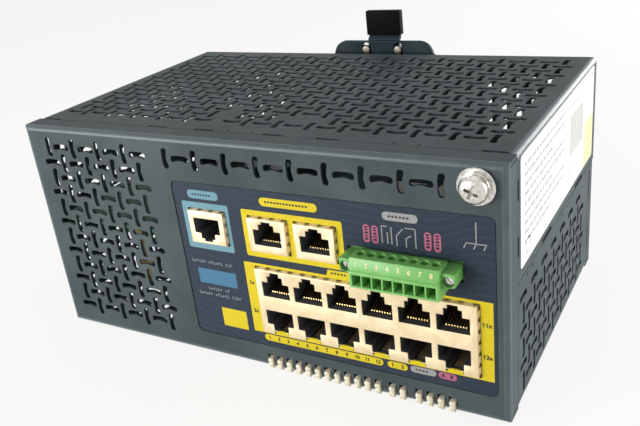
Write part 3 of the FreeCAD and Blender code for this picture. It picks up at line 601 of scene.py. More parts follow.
class Shape:
    """A closed mesh under construction, in case millimetres."""

    def __init__(self):
        self.mesh = bmesh.new()

    def skin(self, rings, finish=0):
        """Skins a run of rings with equal numbers of points, and closes both ends."""
        rows = [[self.mesh.verts.new(point) for point in ring] for ring in rings]
        faces = []
        for near, far in zip(rows, rows[1:]):
            for i in range(len(near)):
                j = (i + 1) % len(near)
                faces.append(self.mesh.faces.new((near[i], near[j], far[j], far[i])))
        faces.append(self.mesh.faces.new(rows[0][::-1]))
        faces.append(self.mesh.faces.new(rows[-1]))
        bmesh.ops.recalc_face_normals(self.mesh, faces=faces)
        for face in faces:
            face.material_index = finish

    def prism(self, outline, run):
        self.skin([outline, [Vector(point) + Vector(run) for point in outline]])

    def box(self, low, high):
        x0, y0, z0 = low
        x1, y1, z1 = high
        self.prism([(x0, y0, z0), (x1, y0, z0), (x1, y1, z0), (x0, y1, z0)], (0, 0, z1 - z0))

    def turned(self, centre, axis, profile, steps=32, finish=0):
        """A round piece. profile lists (distance along the axis, radius) from one end to the other."""
        axis, across, other = square_to(axis)
        angles = [2 * pi * k / steps for k in range(steps)]
        circle = [across * cos(a) + other * sin(a) for a in angles]
        rings = []
        for run, radius in profile:
            middle = Vector(centre) + axis * run
            rings.append([middle + out * max(radius, 0.01) for out in circle])
        self.skin(rings, finish=finish)

    def ease(self, radius, corner, steps=2, clamp=False):
        """Rounds each edge that turns by more than a corner angle, in degrees."""
        edges = [edge for edge in self.mesh.edges
                 if len(edge.link_faces) == 2 and edge.calc_face_angle(0.0) > radians(corner)]
        bmesh.ops.bevel(self.mesh, geom=edges, offset=radius, segments=steps, profile=0.5, affect="EDGES",
                        clamp_overlap=clamp, material=-1)

    def spent(self):
        """The shape as a plain mesh. The shape is used up."""
        mesh = bpy.data.meshes.new("part")
        self.mesh.to_mesh(mesh)
        self.mesh.free()
        return mesh

    def take(self, mesh, matrix=None):
        """Adds a plain mesh, moved by a matrix, and uses it up."""
        if matrix:
            mesh.transform(matrix)
        mesh.polygons.foreach_set("material_index", [0] * len(mesh.polygons))
        self.mesh.from_mesh(mesh)
        bpy.data.meshes.remove(mesh)

    def ready(self, name, *materials, smooth=32.0):
        """The finished piece: in the frame's metres, smooth except at its edges."""
        self.mesh.transform(TO_FRAME)
        for face in self.mesh.faces:
            face.smooth = True
        mesh = self.spent()
        mesh.name = name
        mesh.set_sharp_from_angle(angle=radians(smooth))
        for material in materials:
            mesh.materials.append(material())
        return linked(name, mesh)


def settle(piece, slot, *nodes, body="case"):
    """Hands a finished piece to the frame: what it rides on, and the nodes it stands for. The slot argument
    is not used.
    """
    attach(piece, body)
    if nodes:
        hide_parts(*nodes)
    return piece


# ---- geometry trees -----------------------------------------------------------------------
GEOMETRY, NUMBER, COUNT, PLACE = "NodeSocketGeometry", "NodeSocketFloat", "NodeSocketInt", "NodeSocketVector"


def geometry_tree(name, inputs):
    """A new Geometry Nodes tree with named inputs, as a Graph whose inputs can be wired on."""
    group = bpy.data.node_groups.new(name, "GeometryNodeTree")
    group.is_modifier = True
    for label, kind, default in inputs:
        socket = group.interface.new_socket(label, in_out="INPUT", socket_type=kind)
        if default is not None:
            socket.default_value = default
    group.interface.new_socket("Geometry", in_out="OUTPUT", socket_type=GEOMETRY)
    graph = Graph(group)
    sockets = graph.add("NodeGroupInput").outputs
    graph.given = {label: graph.value(socket) for label, socket in sockets.items()}
    graph.output = graph.add("NodeGroupOutput").inputs["Geometry"]
    return graph


def cells(graph):
    """The column and the row of each cell of a lattice, counted from its first cell."""
    index = graph.value(graph.add("GeometryNodeInputIndex").outputs[0])
    columns = graph.given["Columns"]
    return graph.math("MODULO", index, columns), graph.math("FLOOR", index / columns)


def within(graph, column, row, low, high):
    """1 where a cell lies between two corner cells, else 0."""
    low_column, low_row = graph.split(low)[:2]
    high_column, high_row = graph.split(high)[:2]
    inside = (column > low_column - 0.5) * (column < high_column + 0.5)
    return inside * (row > low_row - 0.5) * (row < high_row + 0.5)


def put_out(graph, geometry):
    """Ends a tree with real geometry in the finish that the tree was given."""
    whole = graph.add("GeometryNodeRealizeInstances", {"Geometry": geometry})
    painted = graph.add("GeometryNodeSetMaterial", {"Geometry": whole.outputs["Geometry"],
                                                    "Material": graph.given["Finish"]})
    graph.feed(graph.output, painted.outputs["Geometry"])
    return graph.tree


def slot_lattice():
    """Adds the outlines of a lattice of vent slots, lying and standing by turns, to a flat outline.

    A slot is wide at its ends and waisted on one side. Each turn says which way that side faces.
    """
    nowhere = (-9.0, -9.0, 0.0)
    graph = geometry_tree("slot lattice", [
        ("Geometry", GEOMETRY, None), ("Columns", COUNT, 8), ("Rows", COUNT, 12),
        ("First", PLACE, (0, 0, 0)), ("Column step", NUMBER, SIDE_VENT), ("Row step", NUMBER, SIDE_VENT),
        ("Stands on", COUNT, 0),
        ("Lying turn", NUMBER, 0.0), ("Standing turn", NUMBER, 90.0), ("Length", NUMBER, 8.3),
        ("Width", NUMBER, 3.0), ("Waist", NUMBER, 0.66), ("Gap A from", PLACE, nowhere),
        ("Gap A to", PLACE, nowhere), ("Gap B from", PLACE, nowhere), ("Gap B to", PLACE, nowhere)])
    given = graph.given
    column, row = cells(graph)
    spot = graph.sum(graph.join(column * given["Column step"], row * given["Row step"], 0.0), given["First"])
    points = graph.add("GeometryNodePoints", {"Count": given["Columns"] * given["Rows"], "Position": spot})
    lying = graph.math("MODULO", column + row + given["Stands on"], 2.0)
    turn = lying * given["Lying turn"] + (1.0 - lying) * given["Standing turn"]
    turn = graph.math("RADIANS", turn)
    circle = graph.add("GeometryNodeCurvePrimitiveCircle", {"Resolution": 28, "Radius": 1.0})
    x, y = graph.split(graph.add("GeometryNodeInputPosition").outputs[0])[:2]
    run = x.power(0.62)
    swell = y.power(0.55)
    middle = 1.0 - run * run
    dent = 1.0 - (y < -0.001) * given["Waist"] * middle * middle
    outline = graph.add("GeometryNodeSetPosition", {
        "Geometry": circle.outputs["Curve"],
        "Position": graph.join(run * given["Length"] * 0.5, swell * dent * given["Width"] * 0.5, 0.0)})
    edges = graph.add("GeometryNodeCurveToMesh", {"Curve": outline.outputs["Geometry"]})
    blank = within(graph, column, row, given["Gap A from"], given["Gap A to"])
    blank = blank + within(graph, column, row, given["Gap B from"], given["Gap B to"])
    slots = graph.add("GeometryNodeInstanceOnPoints", {
        "Points": points.outputs[0], "Selection": blank < 0.5, "Instance": edges.outputs["Mesh"],
        "Rotation": graph.join(0.0, 0.0, turn)})
    slots = graph.add("GeometryNodeRealizeInstances", {"Geometry": slots.outputs["Instances"]})
    graph.feed(graph.output, graph.joined(given["Geometry"], slots.outputs["Geometry"]))
    return graph.tree


def punched_sheet():
    """Fills a flat outline, leaving the loops inside it open, and gives it a thickness."""
    graph = geometry_tree("punched sheet", [
        ("Geometry", GEOMETRY, None), ("Thickness", NUMBER, SHEET), ("Finish", "NodeSocketMaterial", None)])
    curves = graph.add("GeometryNodeMeshToCurve", {"Mesh": graph.given["Geometry"]})
    flat = graph.add("GeometryNodeFillCurve", {"Curve": curves.outputs["Curve"]})
    raised = graph.add("GeometryNodeExtrudeMesh", {"Mesh": flat.outputs["Mesh"], "Individual": False,
                                                   "Offset Scale": graph.given["Thickness"]})
    under = graph.add("GeometryNodeFlipFaces", {"Mesh": flat.outputs["Mesh"]})
    both = graph.joined(raised.outputs["Mesh"], under.outputs["Mesh"])
    whole = graph.add("GeometryNodeMergeByDistance", {"Geometry": both, "Distance": 0.002})
    return put_out(graph, whole.outputs["Geometry"])


def copies_tree():
    """Sets out copies of one piece in rows and columns."""
    graph = geometry_tree("copies", [
        ("Geometry", GEOMETRY, None), ("Columns", COUNT, 1), ("Rows", COUNT, 1), ("Step", PLACE, (1, 0, 0)),
        ("Row step", PLACE, (0, 0, 0)), ("Finish", "NodeSocketMaterial", None)])
    given = graph.given
    places = []
    for count, step in zip(cells(graph), (given["Step"], given["Row step"])):
        node = graph.add("ShaderNodeVectorMath", {0: step}, operation="SCALE")
        graph.feed(node.inputs["Scale"], count)
        places.append(node.outputs[0])
    points = graph.add("GeometryNodePoints", {"Count": given["Columns"] * given["Rows"],
                                              "Position": graph.sum(*places)})
    copies = graph.add("GeometryNodeInstanceOnPoints", {"Points": points.outputs[0],
                                                        "Instance": given["Geometry"]})
    return put_out(graph, copies.outputs["Instances"])


SLOT_LATTICE, PUNCHED_SHEET, COPIES = slot_lattice(), punched_sheet(), copies_tree()


def grown(mesh, *steps):
    """Runs node trees over a mesh in turn, and returns the plain mesh that they make."""
    holder = linked("work", mesh)
    for group, values in steps:
        modifier = holder.modifiers.new(group.name, "NODES")
        modifier.node_group = group
        for item in group.interface.items_tree:
            if item.in_out == "INPUT" and item.name in values:
                modifier[item.identifier] = values[item.name]
    made = evaluated(holder)
    bpy.data.meshes.remove(mesh)
    return made


def repeated(shape, material, columns, step, rows=1, row_step=(0, 0, 0)):
    """A mesh of copies of a shape, set out by the copies tree."""
    values = {"Columns": columns, "Rows": rows, "Step": step, "Row step": row_step, "Finish": material()}
    return grown(shape.spent(), (COPIES, values))


# ---- sheet metal --------------------------------------------------------------------------
FRONT_AXES = (X, Z, -Y)        # a plate's own x, y and thickness, for a sheet that faces forward
ROOF_AXES = (X, Y, Z)
SIDE_AXES = (Y, Z, X)


def rectangle(x0, x1, y0, y1):
    return [(x0, y0), (x1, y0), (x1, y1), (x0, y1)]


def round_rectangle(x0, x1, y0, y1, radius, steps=6):
    points = []
    for cx, cy, start in ((x1 - radius, y1 - radius, 0), (x0 + radius, y1 - radius, 90),
                          (x0 + radius, y0 + radius, 180), (x1 - radius, y0 + radius, 270)):
        for k in range(steps + 1):
            angle = radians(start + 90 * k / steps)
            points.append((cx + radius * cos(angle), cy + radius * sin(angle)))
    return points


def round_hole(x, y, radius):
    angles = [radians(a) for a in range(0, 360, 30)]
    return [(x + radius * cos(a), y + radius * sin(a)) for a in angles]


def notched(low, high, south=(), west=()):
    """A rectangle with notches in its lower and its left side, each given as (from, to, depth)."""
    (x0, y0), (x1, y1) = low, high
    points = [(x0, y0)]
    for a, b, depth in sorted(south):
        points += [(a, y0), (a, y0 + depth), (b, y0 + depth), (b, y0)]
    points += [(x1, y0), (x1, y1), (x0, y1)]
    for a, b, depth in sorted(west, reverse=True):
        points += [(x0, b), (x0 + depth, b), (x0 + depth, a), (x0, a)]
    return points


def notches(middles, half, depth):
    """Notches of one size for notched(). half is half their width."""
    return [(middle - half, middle + half, depth) for middle in middles]


def plate(shape, loops, origin, axes, lattices=(), thick=SHEET, material=case_paint):
    """Adds a flat plate with holes. It grows from the origin along the last axis."""
    points, edges = [], []
    for loop in loops:
        first = len(points)
        points += [(u, v, 0.0) for u, v in loop]
        edges += [(first + k, first + (k + 1) % len(loop)) for k in range(len(loop))]
    mesh = bpy.data.meshes.new("outline")
    mesh.from_pydata(points, edges, [])
    steps = [(SLOT_LATTICE, values) for values in lattices]
    mesh = grown(mesh, *steps, (PUNCHED_SHEET, {"Thickness": thick, "Finish": material()}))
    turn = Matrix(axes).transposed().to_4x4()
    shape.take(mesh, Matrix.Translation(origin) @ turn)


def fold(shape, edge, along, face, wall, spans, mitres=(False, False)):
    """Adds a quarter-round fold along an outside edge, with a bit of flat sheet on both sides.

    face and wall are the directions from the edge into the two plates. A mitred end of the whole
    fold is cut at 45 degrees, to meet the fold of the next side.
    """
    steps = 8
    turns = [radians(90 * k / steps) for k in range(steps + 1)]
    inside = BEND - SHEET
    profile = [(EDGE, 0.0)] + [(BEND - BEND * sin(a), BEND - BEND * cos(a)) for a in turns] + [(0.0, EDGE)]
    profile += [(SHEET, EDGE)] + [(BEND - inside * sin(a), BEND - inside * cos(a)) for a in turns[::-1]]
    profile += [(EDGE, SHEET)]
    for index, (start, end) in enumerate(spans):
        rings = []
        first, last = mitres[0] and index == 0, mitres[1] and index == len(spans) - 1
        for place, is_cut, way in ((start, first, 1), (end, last, -1)):
            rings.append([Vector(edge) + along * (place + way * p * is_cut) + face * p + wall * q
                          for p, q in profile])
        # The fold takes the second finish, the fold paint, whose lighter colour is a painted highlight along
        # the bend.
        shape.skin(rings, finish=1)


def gaps_to_spans(start, end, gaps):
    """What is left of a run once some gaps are taken out of it."""
    spans = []
    for low, high in sorted(gaps):
        spans.append((start, low))
        start = high
    return spans + [(start, end)]


def pipe_centres():
    for node, count in PIPE_GROUPS:
        low, high = box_of(node)
        half = (high.x - low.x - (count - 1) * PIPE_PITCH) / 2
        for index in range(count):
            yield low.x + half + index * PIPE_PITCH


def mouth_columns():
    """The middle of each column of the port block."""
    left, right = front_box("port_block_shell")[:2]
    middle = (left + right) / 2
    return [middle + (k - (JACK_COLUMNS - 1) / 2) * JACK_PITCH for k in range(JACK_COLUMNS)]


def grown_box(node, room):
    left, right, low, high = front_box(node)
    return left - room, right + room, low - room, high + room


LABEL = grown_box("front_label", FILM_GAP)
TAB_WINDOW = (3.05, 1.1)       # half the width, and the depth, of the room under each column for a tongue


def front_windows():
    """The windows behind the label, as outlines on the front."""
    loops = [rectangle(*grown_box(jack + "_shell", WINDOW)) for jack in JACKS]
    left, right, low, high = grown_box("port_block_shell", WINDOW)
    half, depth = TAB_WINDOW
    tabs = notches(mouth_columns(), half, depth + WINDOW)
    loops.append(notched((left, low), (right, high), south=tabs))
    left, right, low, high = front_box("terminal_header")
    loops.append(rectangle(left - 0.4, right + 0.4, low - 0.1, high + 0.2))
    return loops


def make_front_sheet():
    """The front pan: a vented plate with a recess for the label, folded back on four sides."""
    shape = Shape()
    half = PIPE_SLOT_WIDTH / 2
    pipes = list(pipe_centres())
    outline = notched((EDGE, EDGE), (WIDTH - EDGE, HEIGHT - EDGE),
                      south=notches(pipes, half, PIPE_SLOT_TOP - EDGE))
    rows, columns, last_row = 12, 8, HEIGHT - 8.7
    field = {"Columns": columns, "Rows": rows, "First": (12.1, last_row - (rows - 1) * FRONT_VENT, 0.0),
             "Column step": FRONT_VENT, "Row step": FRONT_VENT, "Stands on": rows - 1}
    row = {"Columns": 17, "Rows": 1, "First": (74.4, last_row, 0.0), "Column step": ROOF_VENT}
    opening = round_rectangle(*LABEL, LABEL_CORNER)
    plate(shape, [outline, opening], (0, SHEET, 0), FRONT_AXES, [field, row])
    rim = 1.5                  # how far the recess's floor runs on behind the plate
    left, right, low, high = LABEL
    back = round_rectangle(left - rim, right + rim, low - rim, high + rim, LABEL_CORNER + rim)
    plate(shape, [back] + front_windows(), (0, SHEET + RECESS, 0), FRONT_AXES)
    run, rise, both = [(0.0, WIDTH)], [(0.0, HEIGHT)], (True, True)
    fold(shape, (0, 0, HEIGHT), X, -Z, Y, run, both)
    fold(shape, (0, 0, 0), X, Z, Y, gaps_to_spans(0.0, WIDTH, [(x - half, x + half) for x in pipes]), both)
    fold(shape, (0, 0, 0), Z, X, Y, rise, both)
    fold(shape, (WIDTH, 0, 0), Z, -X, Y, rise, both)
    plate(shape, [rectangle(0.0, WIDTH, EDGE, FLANGE)], (0, 0, HEIGHT - SHEET), ROOF_AXES)
    under = notched((0.0, EDGE), (WIDTH, FLANGE), south=notches(pipes, half, PIPE_SLOT_REACH - EDGE))
    plate(shape, [under], (0, 0, 0), ROOF_AXES)
    relief = SHEET + WALL_GAP
    for x in (0.0, WIDTH - SHEET):
        plate(shape, [rectangle(EDGE, FLANGE, relief, HEIGHT - relief)], (x, 0, 0), SIDE_AXES)
    settle(shape.ready("front_sheet", case_paint, fold_highlight_paint), "case_paint", "front_panel")


ROOF_NOTCHES = (7.0, 64.6, 87.4, 117.8, 140.0, 199.0)
ROOF_TONGUES = ((103.0, 11.0), (169.0, 9.0))     # middle and width
SIDE_NOTCHES = (46.5, 98.5)
CHEEK_NOTCHES = (82.8, 63.2)
ROOF_RIVETS = (84.9, 119.6)    # two flush rivets, where the roof has no vents


def make_cover_sheet():
    """The roof with its two sides."""
    shape = Shape()
    roof = notched((EDGE, BEHIND_PAN), (WIDTH - EDGE, DEPTH), south=notches(ROOF_NOTCHES, 4.4, SHEET))
    dots = [round_hole(x + side * width / 2, BEHIND_PAN + 1.6, RELIEF_HOLE)
            for x, width in ROOF_TONGUES for side in (-1, 1)]
    field = {"Columns": 28, "Rows": 15, "First": (9.05, 21.6, 0.0), "Column step": ROOF_VENT,
             "Row step": ROOF_VENT, "Width": 3.3, "Stands on": 1, "Lying turn": 180.0,
             "Gap A from": (11, 0, 0), "Gap A to": (11, 2, 0), "Gap B from": (15, 1, 0),
             "Gap B to": (17, 1, 0)}
    plate(shape, [roof] + dots, (0, 0, HEIGHT - THIN), ROOF_AXES, [field], thick=THIN)
    side = notched((BEHIND_PAN, SPLIT), (DEPTH, HEIGHT - EDGE), south=notches(SIDE_NOTCHES, 6.5, 1.5),
                   west=notches(CHEEK_NOTCHES, 3.6, 1.1))
    wide = {"Columns": 12, "Rows": 4, "First": (16.0, 57.0, 0.0), "Stands on": 1, "Standing turn": -90.0,
            **WIDE_SLOT}
    plate(shape, [side], (0, 0, 0), SIDE_AXES, [wide], THIN)
    plate(shape, [side], (WIDTH - SHEET, 0, 0), SIDE_AXES)
    for x, inwards in ((0.0, X), (WIDTH, -X)):
        fold(shape, (x, 0, HEIGHT), Y, -Z, inwards, [(BEHIND_PAN, DEPTH)])
    head = [(-0.3, 1.7), (0.03, 1.7), (0.07, 1.35), (0.05, 0.9), (-0.02, 0.0)]
    for x in ROOF_RIVETS:
        shape.turned((x, 30.0, HEIGHT), Z, head, steps=20)
    settle(shape.ready("cover_sheet", case_paint, fold_highlight_paint), "case_paint", "top_cover")


LAPS = ((3.4, 12.5, 7.0, 15.0), (3.4, 12.5, 36.0, 44.0), (115.4, 124.6, 7.0, 15.0),
        (115.4, 124.6, 36.0, 44.0), (22.0, 38.0, 46.5, 56.5), (68.0, 84.0, 46.5, 56.5))


def make_chassis_sheet():
    """The floor with its two vented sides, and the laps inside them that hold the other parts."""
    shape = Shape()
    back = DEPTH - FLANGE - SEAM
    under = {"Columns": 11, "Rows": 11, "First": (12.0, 18.0, 0.0), **WIDE_SLOT}
    plate(shape, [rectangle(EDGE, WIDTH - EDGE, BEHIND_PAN, back)], (0, 0, 0), ROOF_AXES, [under], THIN)
    dots = [round_hole(y, CHASSIS_TOP - 1.6, RELIEF_HOLE) for y in (20.5, 27.0, 70.0, 78.0)]
    side = [rectangle(BEHIND_PAN, back, EDGE, CHASSIS_TOP)] + dots
    field = {"Columns": 14, "Rows": 5, "First": (16.0, 7.4, 0.0), "Column step": SIDE_VENT,
             "Row step": SIDE_VENT, "Standing turn": -90.0}
    top_row = {"Columns": 7, "Rows": 1, "First": (16.0, 41.9, 0.0), "Column step": 2 * SIDE_VENT,
               "Standing turn": 0.0}
    for x, wall, inwards in ((0.0, 0.0, X), (WIDTH, WIDTH - SHEET, -X)):
        plate(shape, side, (wall, 0, 0), SIDE_AXES, [field, top_row])
        fold(shape, (x, 0, 0), Y, Z, inwards, [(BEHIND_PAN, back)])
    for x in (SHEET, WIDTH - 2 * SHEET):
        for y0, y1, z0, z1 in LAPS:
            shape.box((x, y0, z0), (x + SHEET, y1, z1))
    settle(shape.ready("chassis_sheet", case_paint, fold_highlight_paint), "case_paint", "lower_chassis")


def make_rear_sheet():
    """The back: a vented plate, folded forward on three sides below and tucked into the cover above."""
    shape = Shape()
    front, top = DEPTH - FLANGE, HEIGHT - SHEET
    lower = [(EDGE, EDGE), (WIDTH - EDGE, EDGE), (WIDTH - EDGE, CHASSIS_TOP)]
    upper = [(WIDTH - SHEET, CHASSIS_TOP), (WIDTH - SHEET, top), (SHEET, top), (SHEET, CHASSIS_TOP)]
    outline = lower + upper + [(EDGE, CHASSIS_TOP)]
    first, half = 12.0, 1.3
    vents = [round_rectangle(x - half, x + half, 56.0, 86.0, half - 0.01, 4)
             for k in range(7) for x in (first + SIDE_VENT * k, WIDTH - first - SIDE_VENT * k)]
    plate(shape, [outline] + vents, (0, DEPTH, 0), FRONT_AXES)
    fold(shape, (0, DEPTH, 0), X, Z, -Y, [(0.0, WIDTH)], (True, True))
    plate(shape, [rectangle(0.0, WIDTH, front, DEPTH - EDGE)], (0, 0, 0), ROOF_AXES)
    slits = [rectangle(119.9, 121.0, z0, z1) for z0, z1 in ((9.0, 20.0), (31.0, 47.0))]
    low_wall = [rectangle(front, DEPTH - EDGE, SHEET + WALL_GAP, CHASSIS_TOP)] + slits
    high_wall = [rectangle(front, DEPTH - SHEET, CHASSIS_TOP - 4.0, top)]
    for x, wall, tucked, inwards in ((0.0, 0.0, SHEET, X), (WIDTH, WIDTH - SHEET, WIDTH - 2 * SHEET, -X)):
        fold(shape, (x, DEPTH, 0), Z, inwards, -Y, [(0.0, CHASSIS_TOP)], (True, False))
        plate(shape, low_wall, (wall, 0, 0), SIDE_AXES)
        plate(shape, high_wall, (tucked, 0, 0), SIDE_AXES)
    plate(shape, [rectangle(SHEET, WIDTH - SHEET, front, DEPTH - SHEET)], (0, 0, top - SHEET), ROOF_AXES)
    settle(shape.ready("rear_sheet", case_paint, fold_highlight_paint), "case_paint", "rear_panel")


# ---- the label and what is printed on it --------------------------------------------------
def make_front_label():
    shape = Shape()
    film = round_rectangle(*front_box("front_label"), LABEL_CORNER - FILM_GAP)
    plate(shape, [film] + front_windows(), (0, RECESS, 0), FRONT_AXES, thick=FILM, material=label_navy)
    settle(shape.ready("front_film", label_navy), "label_navy", "front_label")


class Print:
    """One colour of ink on a flat face."""

    def __init__(self, name, ink, origin=(0, FILM_FACE, 0), axes=FRONT_AXES):
        self.name, self.ink, self.origin, self.axes = name, ink, Vector(origin), axes
        self.shape = Shape()

    def field(self, *loops):
        """A printed area. The loops after the first are left open."""
        plate(self.shape, loops, self.origin, self.axes, thick=INK_THICK, material=self.ink)

    def pill(self, x0, x1, y0, y1):
        self.field(round_rectangle(x0, x1, y0, y1, min(x1 - x0, y1 - y0) * 0.49))

    def frame(self, x0, x1, y0, y1, radius, line):
        self.field(round_rectangle(x0, x1, y0, y1, radius),
                   round_rectangle(x0 + line, x1 - line, y0 + line, y1 - line, max(radius - line, 0.1)))

    def stroke(self, start, end, width):
        """A straight printed line."""
        start, end = Vector(start), Vector(end)
        side = (end - start).orthogonal().normalized() * width / 2
        self.field([tuple(p) for p in (start + side, start - side, end - side, end + side)][::-1])

    def text(self, words, x, y, height):
        """Raised words, centred on a place."""
        curve = bpy.data.curves.new("words", "FONT")
        curve.body, curve.size, curve.extrude, curve.resolution_u = words, height, INK_THICK / 2, 3
        curve.offset = 0.035 * height
        curve.align_x, curve.align_y = "CENTER", "CENTER"
        across, up, out = self.axes
        spot = self.origin + across * x + up * y + out * INK_THICK
        turn = Matrix(self.axes).transposed().to_4x4()
        self.shape.take(evaluated(linked("words", curve)), Matrix.Translation(spot) @ turn)

    def done(self, slot):
        bmesh.ops.remove_doubles(self.shape.mesh, verts=self.shape.mesh.verts, dist=0.0005)
        settle(self.shape.ready(self.name, self.ink), slot)


FIELD_CORNER = 0.8


def make_yellow_prints():
    """The fields round the uplinks and the ports, with their pills, and a patch at the lower left."""
    first_uplink, second_uplink, block = front_windows()[1:4]
    yellow = Print("print_yellow", ink_yellow)
    yellow.field(round_rectangle(105.8, 147.8, 49.9, 69.1, FIELD_CORNER), first_uplink, second_uplink)
    yellow.field(rectangle(103.4, 200.6, 15.9, 46.9), block)
    yellow.pill(114.7, 138.7, 71.3, 74.7)
    yellow.field([(139.4, 46.92), (150.4, 46.92), (149.6, 49.3), (140.2, 49.3)])
    yellow.pill(107.9, 159.2, 12.4, 15.4)
    yellow.pill(160.9, 168.8, 12.6, 15.4)
    yellow.field(rectangle(88.6, 100.4, 15.2, 23.6))
    yellow.done("label_navy")


def make_tongue_prints():
    """The painted tip of the tongue under each column of ports, which stands out from the label."""
    tongues = Print("print_tongues", ink_yellow, origin=(0, -0.85, 0))
    half, top_half = 2.75, 2.2
    low, shoulder, top = 16.9, 18.3, 18.75
    for x in mouth_columns():
        tongues.field([(x - half, low), (x + half, low), (x + half, shoulder), (x + top_half, top),
                       (x - top_half, top), (x - half, shoulder)])
    tongues.done("label_navy")


def make_blue_prints():
    """The console jack's field and pill, and the darker field of the maker's name."""
    blue = Print("print_blue", ink_blue)
    blue.field(round_rectangle(78.3, 99.9, 49.6, 69.4, FIELD_CORNER), front_windows()[0])
    blue.pill(81.9, 96.2, 70.9, 74.4)
    blue.done("label_navy")
    deep = Print("print_deep_blue", ink_mid_blue)
    deep.field(rectangle(80.2, 98.4, 33.8, 40.4))
    deep.done("label_navy")


def make_pink_prints():
    """The pills of the terminal's power inputs and of their lights."""
    pink = Print("print_pink", ink_pink)
    for x0, x1 in ((155.9, 158.3), (159.1, 161.5), (178.0, 180.5), (181.3, 183.8)):
        pink.pill(x0, x1, 62.6, 69.4)
    pink.pill(180.4, 187.2, 12.8, 15.5)
    pink.done("label_navy")


def make_grey_prints():
    """The pills of the alarm contacts, the contacts' symbol, and the sign of the ground point."""
    grey = Print("print_grey", ink_grey)
    grey.pill(163.4, 176.1, 71.9, 75.0)
    grey.pill(169.9, 179.6, 12.8, 15.5)
    line = 0.38
    for x0, z0, x1, z1 in (
            (162.9, 69.6, 162.9, 63.2), (162.9, 69.6, 164.9, 69.6), (164.9, 67.4, 164.9, 63.2),
            (166.4, 69.6, 166.4, 63.2), (168.2, 66.6, 168.2, 62.8), (168.2, 66.6, 170.6, 69.4),
            (171.6, 66.0, 171.6, 62.8), (171.6, 66.0, 173.4, 67.2), (175.0, 69.8, 175.0, 62.8),
            (171.2, 69.8, 175.0, 69.8)):
        grey.stroke((x0, z0), (x1, z1), line)
    middle, foot = 195.5, 67.5
    grey.stroke((middle, foot), (middle, 75.0), line)
    grey.stroke((middle - 3.5, foot), (middle + 3.5, foot), line)
    for x in (middle - 3.3, middle, middle + 3.3):
        grey.stroke((x, foot), (x - 0.9, foot - 2.0), line)
    grey.done("label_navy")


def make_dim_prints():
    """Three lines of small marks that can't be read, where the model's name would stand."""
    dim = Print("print_dim_grey", ink_dim)
    step, rise = 1.15, 0.45
    for x0, x1, z in ((78.2, 98.4, 43.0), (84.0, 94.4, 31.0), (78.8, 100.4, 28.4)):
        for k in range(int((x1 - x0) / step)):
            if k % 7 == 6:
                continue
            left, bar = x0 + step * k, z + rise * (k % 3)
            dim.field(rectangle(left, left + 0.3, z, z + 1.0 + rise * (k * 5 % 4 == 0)))
            dim.field(rectangle(left + 0.3, left + 0.85, bar, bar + 0.28))
    dim.done("label_navy")


def make_black_prints():
    """The ports' numbers, and a row of dashes for the words in each pill."""
    black = Print("print_black", ink_black, origin=(0, FILM_FACE - INK_THICK, 0))
    small, large = 2.1, 2.3
    for number in range(12):
        black.text(str(number + 1), 110.2 + PIPE_PITCH * number, 13.85, small)
    for words, x, z, height in (
            ("1", 162.9, 13.95, small), ("2", 166.8, 13.95, small), ("11x", 198.4, 38.0, large),
            ("12x", 198.4, 25.4, large), ("1x", 105.7, 38.0, large), ("2x", 105.7, 25.4, large),
            ("A", 182.2, 14.1, small), ("B", 185.3, 14.1, small)):
        black.text(words, x, z, height)
    step, long, thick = 1.3, 0.85, 0.7
    for x0, x1, z in ((84.0, 94.0, 72.3), (117.0, 136.0, 72.7), (165.6, 173.8, 73.1), (141.4, 148.4, 47.7),
                      (171.8, 177.6, 13.8)):
        for k in range(int((x1 - x0) / step)):
            black.field(rectangle(x0 + step * k, x0 + step * k + long, z, z + thick))
    half = 0.6
    for x in (157.1, 160.3, 179.25, 182.55):
        for z, tall in ((63.6, 0.8), (64.9, 0.5), (65.9, 0.8), (67.2, 0.5), (68.1, 0.6)):
            black.field(rectangle(x - half, x + half, z, z + tall))
    black.done("label_navy")


def make_front_prints():
    """Plain fields, numbers and symbols, in the places where such a label has them."""
    make_yellow_prints()
    make_tongue_prints()
    make_blue_prints()
    make_pink_prints()
    make_grey_prints()
    make_dim_prints()
    make_black_prints()


# ---- jacks --------------------------------------------------------------------------------
def refined(node, name, material, round_by, steps=2):
    """A copy of a model node with its sharp edges rounded off."""
    shape = Shape()
    shape.take(frame["nodes"][node].data.copy(), TO_FRAME.inverted())
    mesh = shape.mesh
    bmesh.ops.remove_doubles(mesh, verts=mesh.verts, dist=0.004)
    bmesh.ops.dissolve_limit(mesh, angle_limit=radians(3), verts=mesh.verts, edges=mesh.edges)
    shape.ease(round_by, 35.0, steps, clamp=True)
    return shape.ready(name, material)


def strip(shape, path, across, width, thick):
    """A flat spring or wire that follows a path. across is the direction of its width."""
    rings = []
    across = Vector(across)
    for index, point in enumerate(path):
        before, after = path[max(index - 1, 0)], path[min(index + 1, len(path) - 1)]
        run = (Vector(after) - Vector(before)).normalized()
        out = across.cross(run).normalized() * thick / 2
        side = across * width / 2
        corners = (side + out, out - side, -side - out, side - out)
        rings.append([Vector(point) + corner for corner in corners])
    shape.skin(rings)


